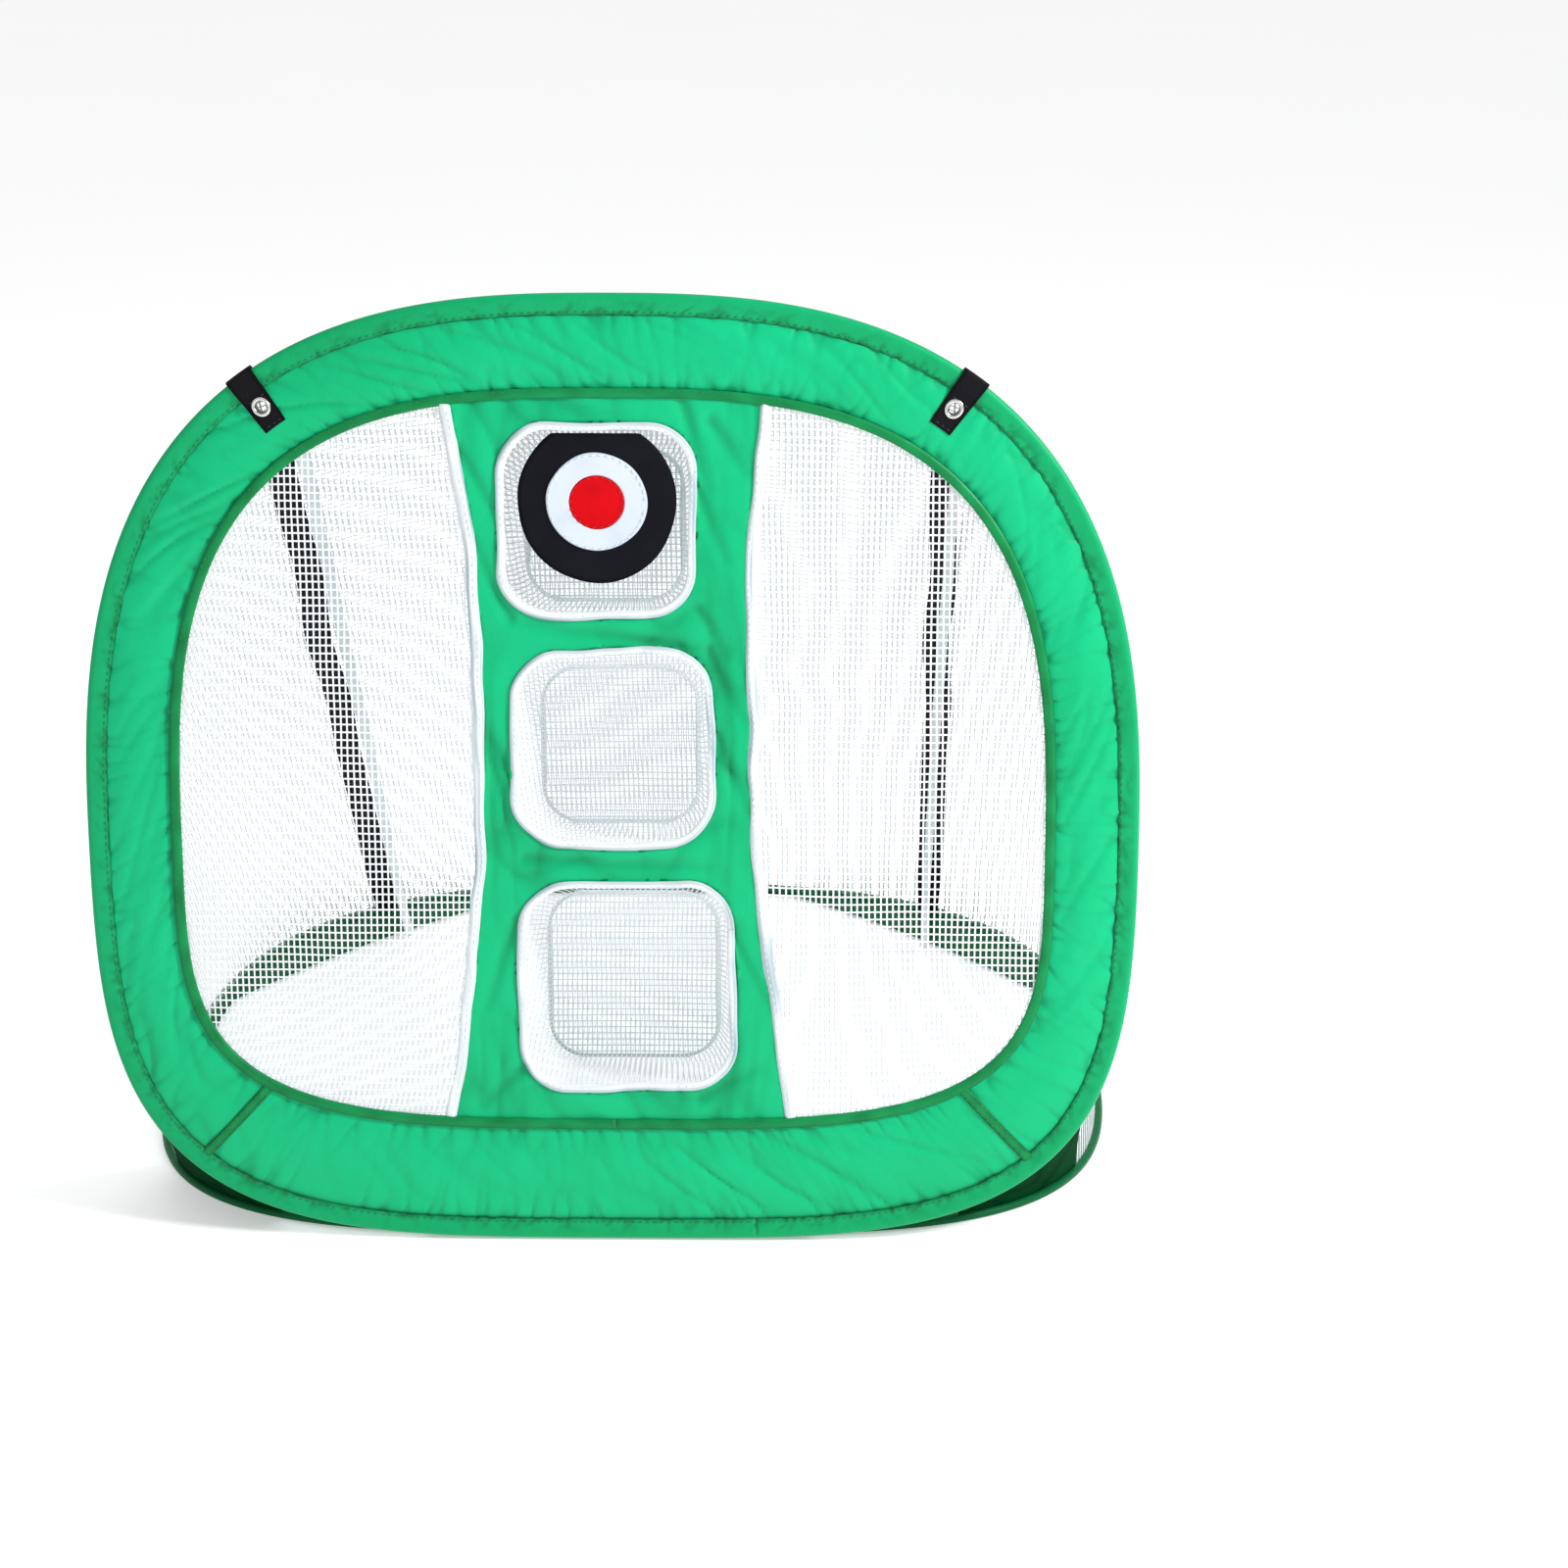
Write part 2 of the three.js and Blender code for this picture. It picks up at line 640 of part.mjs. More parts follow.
const swing = new THREE.Group();
const swingAt = new THREE.Vector3(target.aside, target.centre + target.flatTop, 0);
swing.position.copy(standing.localToWorld(swingAt));
swing.rotation.x = 90 * deg;
chippingNet.add(swing);
bullseye(swing);

stretchedPieces(chippingNet);

const seamStrip = new THREE.BoxGeometry(foldSeamLength, foldSeam, 2 * sleeveHalf - 2);
seamStrip.translate(0, -sleeveWidth / 2 - gap - foldSeam / 2, sleeveHalf);
addMesh(chippingNet, "fold_seam", seamStrip, darkGreen);

export default chippingNet;
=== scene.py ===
# A pop-up golf chipping net: cloth, nets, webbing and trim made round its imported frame.
import json
import math

import bmesh
import bpy
import numpy as np
from mathutils import Matrix, Vector, noise


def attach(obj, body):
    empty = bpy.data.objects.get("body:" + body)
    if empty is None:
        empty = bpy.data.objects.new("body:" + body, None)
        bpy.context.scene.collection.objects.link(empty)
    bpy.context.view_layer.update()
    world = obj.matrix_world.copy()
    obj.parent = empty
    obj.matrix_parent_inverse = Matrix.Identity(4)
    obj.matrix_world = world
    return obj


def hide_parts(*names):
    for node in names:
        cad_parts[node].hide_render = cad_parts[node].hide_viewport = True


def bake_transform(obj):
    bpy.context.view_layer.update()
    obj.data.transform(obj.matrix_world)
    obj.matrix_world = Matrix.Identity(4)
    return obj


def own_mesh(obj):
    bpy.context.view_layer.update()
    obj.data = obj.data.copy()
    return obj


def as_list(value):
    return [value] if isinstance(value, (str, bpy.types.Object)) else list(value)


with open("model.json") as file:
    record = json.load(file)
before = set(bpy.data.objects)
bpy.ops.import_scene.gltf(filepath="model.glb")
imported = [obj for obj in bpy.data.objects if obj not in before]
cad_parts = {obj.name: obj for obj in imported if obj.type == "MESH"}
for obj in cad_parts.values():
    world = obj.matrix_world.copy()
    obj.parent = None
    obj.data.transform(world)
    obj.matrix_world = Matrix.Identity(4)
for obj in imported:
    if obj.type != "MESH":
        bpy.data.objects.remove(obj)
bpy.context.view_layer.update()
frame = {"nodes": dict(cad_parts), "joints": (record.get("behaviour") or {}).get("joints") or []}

scene = bpy.context.scene
scene.view_settings.view_transform = "Standard"
print("frame loaded")

# Camera, light and floor

studio = {
    "cameraAt": (0.1468, -2.241, 1.1612),
    "cameraTilt": 70.0,  # degrees up from straight down
    "cameraTurn": 0.69,
    "lens": 79.3,
    "floorSize": 60.0,
    "floorColour": (0.95, 0.953, 0.957),
    "floorPatch": (0.965, 0.967, 0.97),
    "floorGlow": 0.34,
    "skyColour": (1.0, 1.0, 1.0),
    "skyStrength": 0.62,
    # where each light stands, its size across in metres and its power in watts
    "lights": {
        "keyLight": ((1.65, -0.80, 1.50), 0.4, 42.0),
        "fillLight": ((-2.0, -1.6, 1.6), 2.2, 3.0),
        "topLight": ((0.1, 0.5, 2.8), 2.4, 10.0),
    },
    "aimedAt": (0.0, 0.1, 0.3),
}


def makeStudio():
    camera = bpy.data.objects.new("camera", bpy.data.cameras.new("camera"))
    camera.location = studio["cameraAt"]
    camera.rotation_euler = (math.radians(studio["cameraTilt"]), 0, math.radians(studio["cameraTurn"]))
    camera.data.lens = studio["lens"]
    camera.data.clip_end = 30
    scene.collection.objects.link(camera)
    scene.camera = camera
    for name, (place, across, power) in studio["lights"].items():
        light = bpy.data.objects.new(name, bpy.data.lights.new(name, "AREA"))
        light.data.size = across
        light.data.energy = power
        light.location = place
        aim = Vector(studio["aimedAt"]) - Vector(place)
        light.rotation_euler = aim.to_track_quat("-Z", "Y").to_euler()
        scene.collection.objects.link(light)
    world = bpy.data.worlds.new("paleRoom")
    world.use_nodes = True
    sky = world.node_tree.nodes["Background"]
    sky.inputs["Color"].default_value = (*studio["skyColour"], 1)
    sky.inputs["Strength"].default_value = studio["skyStrength"]
    scene.world = world
    bm = bmesh.new()
    bmesh.ops.create_grid(bm, x_segments=1, y_segments=1, size=studio["floorSize"] / 2)
    floor = pieceFrom("paleFloor", bm)
    floor.data.materials.append(floorFinish())


# Materials: a socket that can be added up, and one way to make any node


class Reading:
    # a node's output; each operator adds its Math node
    def __init__(self, finish, socket):
        self.finish = finish
        self.socket = socket

    def sum(self, operation, first, second):
        return self.finish.node("Math", {"operation": operation}, {0: first, 1: second})

    def __add__(self, other):
        return self.sum("ADD", self, other)

    def __sub__(self, other):
        return self.sum("SUBTRACT", self, other)

    def __mul__(self, other):
        return self.sum("MULTIPLY", self, other)

    def __rsub__(self, other):
        return self.sum("SUBTRACT", other, self)

    __radd__ = __add__
    __rmul__ = __mul__


class Finish:
    # a material being made
    def __init__(self, name):
        self.material = bpy.data.materials.new(name)
        self.material.use_nodes = True
        self.tree = self.material.node_tree
        self.tree.nodes.clear()

    def node(self, kind, settings=None, sockets=None, out=0):
        made = self.tree.nodes.new("ShaderNode" + kind)
        for key, value in (settings or {}).items():
            setattr(made, key, value)
        for key, value in (sockets or {}).items():
            if isinstance(value, Reading):
                self.tree.links.new(value.socket, made.inputs[key])
            else:
                made.inputs[key].default_value = value
        return Reading(self, made.outputs[out])

    def mix(self, share, first, second):
        sockets = {0: share, 6: colour(first), 7: colour(second)}
        return self.node("Mix", {"data_type": "RGBA"}, sockets, out=2)

    def noise(self, at, scale, detail=2.0):
        return self.node("TexNoise", {}, {"Vector": at, "Scale": scale, "Detail": detail})

    def close(self, sockets):
        shader = self.node("BsdfPrincipled", {}, sockets)
        end = self.tree.nodes.new("ShaderNodeOutputMaterial")
        self.tree.links.new(shader.socket, end.inputs["Surface"])
        return self.material


def colour(value):
    return value if isinstance(value, Reading) else (*value, 1)


def fromPaint(red, green, blue):
    # a colour as a paint chart gives it, 0 to 255, to the linear values of a shader
    def linear(c):
        return (c / 255 / 12.92) if c < 10 else ((c / 255 + 0.055) / 1.055) ** 2.4

    return tuple(linear(c) for c in (red, green, blue))


def floorFinish():
    finish = Finish("paleFloor")
    at = finish.node("TexCoord", out="Object")
    tone = finish.mix(finish.noise(at, 3.0), studio["floorColour"], studio["floorPatch"])
    glow = {"Emission Color": tone, "Emission Strength": studio["floorGlow"]}
    return finish.close({"Base Color": tone, "Roughness": 0.9, **glow})


def clothFinish(name, look):
    # woven cloth: threads that follow the piece's own flat lay, darker where the crease attribute says,
    # which paints shade into creases and along seams and edges, and random darker patches on some pieces
    finish = Finish(name)
    at = finish.node("TexCoord", out="Object")
    lay = finish.node("UVMap", {"uv_map": "lay"})
    along = finish.node("SeparateXYZ", {}, {0: lay})
    across = Reading(finish, along.socket.node.outputs["Y"])
    crease = finish.node("Attribute", {"attribute_name": "crease"}, out="Fac")
    patches = finish.noise(at, look["patchScale"], 3.0)
    turns = 2 * math.pi / look["thread"]
    warp = finish.node("Math", {"operation": "SINE"}, {0: along * turns})
    weft = finish.node("Math", {"operation": "SINE"}, {0: across * turns})
    weave = warp * weft
    body = finish.mix(patches, look["light"], look["mid"])
    # painted shade: the crease attribute mixes the cloth towards its deep colour
    tone = finish.mix(crease, body, look["deep"])
    crinkles = finish.noise(at, look["crinkleScale"], 4.0)
    height = weave * look["weaveHeight"] + crinkles * look["crinkleHeight"]
    bump = finish.node("Bump", {}, {"Height": height, "Distance": 1.0, "Strength": 1.0})
    rough = patches * 0.12 + look["roughness"]
    return finish.close({
        "Base Color": tone,
        "Roughness": rough,
        "Normal": bump,
        "Sheen Weight": look["sheen"],
        "Sheen Roughness": 0.4,
        "Specular IOR Level": look["shine"],
    })


def threadFinish(name, look):
    # knitted thread, with a fine rise and fall along it, and a painted glow where its look gives one
    finish = Finish(name)
    at = finish.node("TexCoord", out="Object")
    tone = finish.mix(finish.noise(at, 35.0), look["light"], look["deep"])
    bump = finish.node("Bump", {}, {"Height": finish.noise(at, 1400.0) * 0.0002, "Distance": 1.0})
    glow = {"Emission Color": tone, "Emission Strength": look.get("glow", 0.0)}
    return finish.close({"Base Color": tone, "Roughness": look["roughness"], "Normal": bump, **glow})


def metalFinish(name, look):
    finish = Finish(name)
    at = finish.node("TexCoord", out="Object")
    marks = finish.noise(at, look["markScale"], 4.0)
    # painted shade: the crease attribute darkens the metal inside the eyelet's bore
    paintedShade = finish.node("Attribute", {"attribute_name": "crease"}, out="Fac")
    tone = finish.mix(paintedShade, finish.mix(marks, look["light"], look["deep"]), look["paintedShade"])
    bump = finish.node("Bump", {}, {"Height": marks * look["markHeight"], "Distance": 1.0})
    return finish.close({
        "Base Color": tone,
        "Metallic": 1.0,
        "Roughness": marks * 0.2 + look["roughness"],
        "Normal": bump,
    })


greenLook = {
    "light": fromPaint(6, 190, 130),
    "mid": fromPaint(2, 168, 106),
    # the colour of the painted shade in creases and along seams
    "deep": fromPaint(0, 78, 36),
    "patchScale": 7.0,
    "thread": 0.0007,
    "weaveHeight": 0.00002,
    "crinkleScale": 60.0,
    "crinkleHeight": 0.0009,
    "roughness": 0.34,
    "shine": 0.18,
    "sheen": 0.04,
}
# painted shade: the sleeve is the same green cloth, painted darker for how it faces away from the light
sleeveShadedLook = {**greenLook, "light": fromPaint(2, 168, 106), "mid": fromPaint(0, 146, 86)}
# painted shade: the ground hoop's cloth is the same green, painted dark for the shade it lies in
groundShadedLook = {**greenLook, "light": fromPaint(3, 104, 58), "mid": fromPaint(1, 78, 40), "shine": 0.1}
# painted shade: the front corners' cloth, painted near black-green for the shade it lies in
goreShadedLook = {
    **groundShadedLook,
    "light": fromPaint(0, 62, 28),
    "mid": fromPaint(0, 46, 20),
    "deep": fromPaint(0, 24, 10),
    "roughness": 0.8,
    "shine": 0.02,
    "sheen": 0.0,
}
seamLook = {
    **greenLook,
    "light": fromPaint(8, 144, 80),
    "mid": fromPaint(3, 122, 62),
    "deep": fromPaint(0, 84, 38),
    "thread": 0.0011,
    "crinkleHeight": 0.0004,
}
whiteTapeLook = {
    **greenLook,
    "light": fromPaint(236, 240, 243),
    "mid": fromPaint(224, 231, 235),
    "deep": fromPaint(140, 164, 174),
    "thread": 0.0009,
    "weaveHeight": 0.00006,
    "crinkleHeight": 0.0004,
    "roughness": 0.55,
    "shine": 0.2,
    "sheen": 0.05,
}
webbingLook = {
    **greenLook,
    "light": fromPaint(26, 26, 30),
    "mid": fromPaint(16, 16, 20),
    "deep": fromPaint(5, 5, 7),
    "thread": 0.0019,
    "weaveHeight": 0.00018,
    "crinkleHeight": 0.0002,
    "roughness": 0.5,
    "shine": 0.05,
    "sheen": 0.01,
}
feltLook = {
    **greenLook,
    "patchScale": 30.0,
    "thread": 0.0012,
    "weaveHeight": 0.00003,
    "crinkleScale": 160.0,
    "crinkleHeight": 0.0003,
    "roughness": 0.55,
    "shine": 0.05,
    "sheen": 0.01,
}
blackFeltLook = {
    **feltLook,
    "light": fromPaint(24, 24, 32),
    "mid": fromPaint(14, 15, 20),
    "deep": fromPaint(4, 4, 6),
}
whiteFeltLook = {
    **feltLook,
    "light": fromPaint(212, 220, 232),
    "mid": fromPaint(200, 210, 224),
    "deep": fromPaint(160, 170, 186),
}
redFeltLook = {
    **feltLook,
    "light": fromPaint(214, 12, 24),
    "mid": fromPaint(196, 4, 14),
    "deep": fromPaint(130, 0, 6),
}

finishes = {
    "green": clothFinish("greenCloth", greenLook),
    "sleeve": clothFinish("greenSleeve", sleeveShadedLook),
    # painted shade: the ground sleeve and corners take this darkened copy of the green
    "ground": clothFinish("groundShadedGreen", groundShadedLook),
    "gore": clothFinish("goreCloth", goreShadedLook),
    "seam": clothFinish("greenSeam", seamLook),
    "tape": clothFinish("whiteTape", whiteTapeLook),
    "webbing": clothFinish("blackWebbing", webbingLook),
    "blackFelt": clothFinish("blackFelt", blackFeltLook),
    "whiteFelt": clothFinish("whiteFelt", whiteFeltLook),
    "redFelt": clothFinish("redFelt", redFeltLook),
    "net": threadFinish("whiteNet", {
        "light": fromPaint(234, 237, 241),
        "deep": fromPaint(220, 224, 229),
        "roughness": 0.6,
        "glow": 0.07,  # painted glow, standing in for daylight that comes through the thin yarn
    }),
    "greenThread": threadFinish("greenThread", {
        "light": fromPaint(10, 140, 78),
        "deep": fromPaint(4, 96, 50),
        "roughness": 0.55,
    }),
    "whiteThread": threadFinish("whiteThread", {
        "light": fromPaint(235, 240, 242),
        "deep": fromPaint(205, 212, 216),
        "roughness": 0.6,
    }),
    "redThread": threadFinish("redThread", {
        "light": fromPaint(206, 10, 22),
        "deep": fromPaint(160, 4, 12),
        "roughness": 0.6,
    }),
    "blackThread": threadFinish("blackThread", {
        "light": fromPaint(52, 52, 58),
        "deep": fromPaint(30, 30, 34),
        "roughness": 0.6,
    }),
    "nickel": metalFinish("brightNickel", {
        "light": (0.86, 0.85, 0.83),
        "deep": (0.6, 0.58, 0.56),
        "markScale": 420.0,
        "markHeight": 0.00006,
        "paintedShade": (0.03, 0.03, 0.03),
        "roughness": 0.14,
    }),
    "steel": metalFinish("springSteel", {
        "light": (0.62, 0.63, 0.65),
        "deep": (0.42, 0.43, 0.45),
        "markScale": 300.0,
        "markHeight": 0.00005,
        "paintedShade": (0.1, 0.1, 0.1),
        "roughness": 0.3,
    }),
}
print("finishes made")

# The two hoops' planes. On the standing hoop a point is (x, up the plane, out towards the player);
# on the ground hoop it is (x, back along the ground, up).

sides = ((1, "right"), (-1, "left"))
hoopLook = {
    "halfWidth": 0.3675,
    "top": 0.680,
    "topPower": 2.7,
    "taper": 0.05,  # how much narrower the hoop is at its foot
    "lean": math.radians(5),
    "edgeBelowHinge": 0.005,
    "offPlane": 0.0033,
    "groundBack": 0.0075,
    "groundLift": 0.003,
    "belly": 0.290,
    "cornerPower": 3.8,
    "sleeveWidth": 0.015,
    "sleeveHalf": 0.003,
}
joints = {joint["name"]: joint for joint in frame["joints"]}
hinge = Vector(joints["front_fold"]["pos_m"])


def stacked(*parts):
    return np.stack(np.broadcast_arrays(*parts), axis=-1)


def standing(x, s, f):
    up = s - hoopLook["edgeBelowHinge"]
    out = f + hoopLook["offPlane"]
    c, n = math.cos(hoopLook["lean"]), math.sin(hoopLook["lean"])
    return stacked(x, hinge.y + up * n - out * c, hinge.z + up * c + out * n)


def lying(x, s, h):
    return stacked(x, s - hoopLook["groundBack"], h + hoopLook["groundLift"])


class Loop:
    # a closed line in a hoop's plane, walked anticlockwise by its share of the way round
    def __init__(self, points):
        self.points = np.array([*points, points[0]])
        steps = np.hypot(*np.diff(self.points, axis=0).T)
        self.walked = np.concatenate([[0], np.cumsum(steps)])
        self.length = float(self.walked[-1])

    def on(self, distance):
        here = distance % self.length
        return (np.interp(here, self.walked, self.points[:, axis]) for axis in (0, 1))

    def at(self, share, inset=0.0):
        # the point an inset inside the line
        distance = np.asarray(share) * self.length
        x, y = self.on(distance)
        ahead, behind = self.on(distance + 0.0012), self.on(distance - 0.0012)
        alongX, alongY = (a - b for a, b in zip(ahead, behind))
        size = np.hypot(alongX, alongY)
        return x - alongY / size * inset, y + alongX / size * inset

    def near(self, x, y):
        nearest = np.argmin(np.hypot(self.points[:-1, 0] - x, self.points[:-1, 1] - y))
        return float(self.walked[nearest] / self.length)


def roundedLoop(halfWidth, bottom, top, topPower, taper):
    belly, cornerPower = hoopLook["belly"], hoopLook["cornerPower"]
    points = []
    for i in range(1440):
        turn = math.radians(i / 4 - 90)
        c, n = math.cos(turn), math.sin(turn)
        high, power = (top - belly, topPower) if n > 0 else (belly - bottom, cornerPower)
        reach = (abs(c / halfWidth) ** power + abs(n / high) ** power) ** (-1 / power)
        rise = min(0.0, reach * n / high)
        points.append((reach * c * (1 - taper * rise * rise), belly + reach * n))
    return Loop(points)


windowLook = {"halfWidth": 0.303, "bottom": 0.090, "top": 0.610, "topPower": 3.0}
hoop = roundedLoop(hoopLook["halfWidth"], 0.0, hoopLook["top"], hoopLook["topPower"], hoopLook["taper"])
window = roundedLoop(*(windowLook[key] for key in ("halfWidth", "bottom", "top", "topPower")), 0.0)


def onHoop(share, inset, f):
    return standing(*hoop.at(share, inset), f)


def onGround(share, inset, h):
    return lying(*hoop.at(share, inset), h)


# Making pieces: a grid is laid out flat, trimmed or cut open, and then placed on the net


def pieceFrom(name, bm):
    mesh = bpy.data.meshes.new(name)
    bm.to_mesh(mesh)
    bm.free()
    piece = bpy.data.objects.new(name, mesh)
    scene.collection.objects.link(piece)
    return piece


def waves(x, y, z, seed):
    points = zip(x, y, np.broadcast_to(z, x.shape))
    return np.array([noise.noise((a, b, c + seed)) for a, b, c in points])


def creases(x, y, seed, sharpness=3.5):
    # 0 on flat cloth, 1 along the bottom of a crease
    return np.clip(1 - np.abs(waves(x, y, 0.0, seed)) * sharpness, 0, 1) ** 2


def flatGrid(low, high, cells):
    bm = bmesh.new()
    bmesh.ops.create_grid(bm, x_segments=cells[0], y_segments=cells[1], size=0.5)
    size = Vector((high[0] - low[0], high[1] - low[1], 1))
    bmesh.ops.scale(bm, vec=size, verts=bm.verts)
    middle = Vector(((high[0] + low[0]) / 2, (high[1] + low[1]) / 2, 0))
    bmesh.ops.translate(bm, vec=middle, verts=bm.verts)
    return bm


def layUv(bm, length=1.0, width=1.0):
    # the flat lay, in metres, kept as the piece's UV map
    lay = bm.loops.layers.uv.new("lay")
    for face in bm.faces:
        for corner in face.loops:
            x, y, _ = corner.vert.co
            corner[lay].uv = (x * length, y * width)


def trimmed(bm, keep):
    gone = [face for face in bm.faces if not keep(*face.calc_center_median().xy)]
    bmesh.ops.delete(bm, geom=gone, context="FACES")


def openNet(bm, thread):
    # turns each cell of a grid into a hole with threads round it
    cells = list(bm.faces)
    bmesh.ops.inset_individual(bm, faces=cells, thickness=thread / 2, use_even_offset=True)
    bmesh.ops.delete(bm, geom=cells, context="FACES")


def placed(name, bm, place, finish, merge=False):
    piece = pieceFrom(name, bm)
    mesh = piece.data
    flat = np.zeros(len(mesh.vertices) * 3)
    mesh.vertices.foreach_get("co", flat)
    flat = flat.reshape(-1, 3)
    made = place(flat[:, 0], flat[:, 1], flat[:, 2])
    points, extras = made if isinstance(made, tuple) else (made, {})
    mesh.vertices.foreach_set("co", np.ascontiguousarray(points, dtype=np.float64).ravel())
    for key, values in {"crease": np.zeros(len(points)), **extras}.items():
        layer = mesh.attributes.new(key, "FLOAT", "POINT")
        layer.data.foreach_set("value", np.asarray(values, dtype=np.float32))
    if merge:
        bm = bmesh.new()
        bm.from_mesh(mesh)
        bmesh.ops.remove_doubles(bm, verts=bm.verts, dist=0.00003)
        bm.to_mesh(mesh)
        bm.free()
    mesh.update()
    mesh.shade_smooth()
    mesh.materials.append(finishes[finish])
    return piece


def thickened(piece, thickness, offset=0.0):
    wall = piece.modifiers.new("thickness", "SOLIDIFY")
    wall.thickness = thickness
    wall.offset = offset
    wall.use_even_offset = False
    return piece


def finished(piece, slot, body, *nodes):
    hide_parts(*nodes)
    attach(piece, body)
    return piece


def bendsWithFold(piece, slot, *nodes):
    share = np.zeros(len(piece.data.vertices), np.float32)
    piece.data.attributes["foldShare"].data.foreach_get("value", share)
    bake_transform(piece)
    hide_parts(*nodes)
    return piece


# Sleeves: one folded strip of cloth round each hoop's wire

sleeveLooks = {
    "steps": 760,
    "around": 16,
    "seamHalf": 0.0016,  # half the thickness where the strip's two edges are sewn down
    "pucker": 0.0007,
    "cloth": 0.0006,
    "strip": 0.0334,  # the strip's width before it is folded
    "stitchIn": 0.0022,
    "stitchUp": 0.0002,
}


def sleeveSection(w):
    # inset from the hoop's edge and lift off its plane, for w from the back edge round to the front edge
    half, width = hoopLook["sleeveHalf"], hoopLook["sleeveWidth"]
    flat = width - half
    total = 2 * flat + math.pi * half
    walked = w * total
    bend = np.clip((walked - flat) / half, 0, math.pi)
    onFront = np.where(walked > total - flat, width - (total - walked), 0)
    inset = np.where(walked < flat, width - walked, onFront)
    inBend = (walked >= flat) & (walked <= total - flat)
    inset = np.where(inBend, half - half * np.sin(bend), inset)
    pinch = np.clip((inset - half) / flat, 0, 1)
    thick = half + (sleeveLooks["seamHalf"] - half) * pinch * pinch * (3 - 2 * pinch)
    lift = np.where(walked < flat, -thick, thick)
    return inset, np.where(inBend, -half * np.cos(bend), lift), pinch


def sleeveSurface(x, w):
    inset, lift, pinch = sleeveSection(w)
    along = x * hoop.length
    fold = creases(along * 90, w * 3, 3.1)
    pucker = waves(along * 70, w * 5, 0.0, 1.7) * sleeveLooks["pucker"]
    lift = lift * (1 - 0.35 * fold * pinch) + pucker * pinch
    return inset, np.maximum(lift, -hoopLook["groundLift"]), fold * pinch, pinch


stitchLook = {"every": 0.0052, "long": 0.0034, "thin": 0.00042}


def makeStitches(name, length, line, finish, slot, body):
    # a row of short stitches along a line, which turns a distance along, across and up into a point
    every, long, thin = stitchLook["every"], stitchLook["long"], stitchLook["thin"]
    bm = bmesh.new()
    for i in range(int(length / every)):
        place = Matrix.Translation((every * (i + 0.5), 0, 0)) @ Matrix.Diagonal((long / 2, thin, thin, 1))
        bmesh.ops.create_icosphere(bm, subdivisions=1, radius=1.0, matrix=place)
    stitches = placed(name, bm, line, finish)
    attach(stitches, body)


def makeSleeve(name, node, onPlane, body, joint):
    steps, around = sleeveLooks["steps"], sleeveLooks["around"]

    def place(x, w, _):
        inset, lift, fold, pinch = sleeveSurface(x, w)
        # painted shade in the sleeve's creases and along its sewn-down tails
        return onPlane(x + joint, inset, lift), {"crease": 0.75 * fold + 0.5 * (pinch > 0.97)}

    def stitchLine(along, across, up):
        # just above the sleeve's sewn-down tail
        x = along / hoop.length
        w = np.full(len(x), 1 - sleeveLooks["stitchIn"] / sleeveLooks["strip"])
        inset, lift, _fold, _pinch = sleeveSurface(x, w)
        return onPlane(x + joint, inset + across, lift + up + sleeveLooks["stitchUp"])

    bm = flatGrid((0, 0), (1, 1), (steps, around))
    layUv(bm, hoop.length, sleeveLooks["strip"])
    # painted shade: the standing sleeve takes a darkened copy of the green, the ground sleeve a much darker
    # one
    finish, slot = ("sleeve", "green_cloth") if body == "front" else ("ground", "green_seam")
    sleeve = placed(name, bm, place, finish, merge=True)
    thickened(sleeve, sleeveLooks["cloth"], offset=-1.0)
    finished(sleeve, slot, body, node)
    makeStitches(name + "Stitches", hoop.length, stitchLine, "greenThread", slot, body)


makeSleeve("frontSleeve", "front_sleeve", onHoop, "front", hoop.near(0.100, 0.0))
makeSleeve("groundSleeve", "ground_sleeve", onGround, "base", 0.5)
for node, finish in (
    ("front_hoop_wire", "steel"),
    ("ground_hoop_wire", "steel"),
    ("front_wire_joiner", "nickel"),
    ("ground_wire_joiner", "nickel"),
):
    frame["nodes"][node].data.materials.clear()
    frame["nodes"][node].data.materials.append(finishes[finish])
print("sleeves made")

# Border: an arch and a foot panel of gathered cloth between the sleeve and the window

borderLook = {
    "outerInset": 0.008,
    "overWindow": 0.005,  # how far the cloth runs under the window's binding
    "bulge": 0.0030,
    "pucker": 0.0018,
    "fold": 0.0030,
    "width": 0.075,
    "cloth": 0.0009,
    "archCells": (860, 30),
    "footCells": (300, 32),
    "mitreAtHoop": (0.306, 0.050),
    "mitreAtWindow": (0.249, 0.111),
    "eyeletRoom": 0.0056,
}
webbingSize = {"width": 0.020, "thickness": 0.0012, "tab": (0.249, 0.625), "eyeletInset": 0.0248}
tabShare = hoop.near(*webbingSize["tab"])
eyeletPlaces = [
    tuple(float(c) for c in hoop.at(share, webbingSize["eyeletInset"]))
    for share in (tabShare, 1 - tabShare)
]
mitreHoop = hoop.near(*borderLook["mitreAtHoop"])
mitreWindow = window.near(*borderLook["mitreAtWindow"])


def borderLine(u, w, hoopEnds, windowEnds):
    outer = hoop.at(hoopEnds[0] + (hoopEnds[1] - hoopEnds[0]) * u, borderLook["outerInset"])
    inner = window.at(windowEnds[0] + (windowEnds[1] - windowEnds[0]) * u, -borderLook["overWindow"])
    return (a + (b - a) * w for a, b in zip(outer, inner))


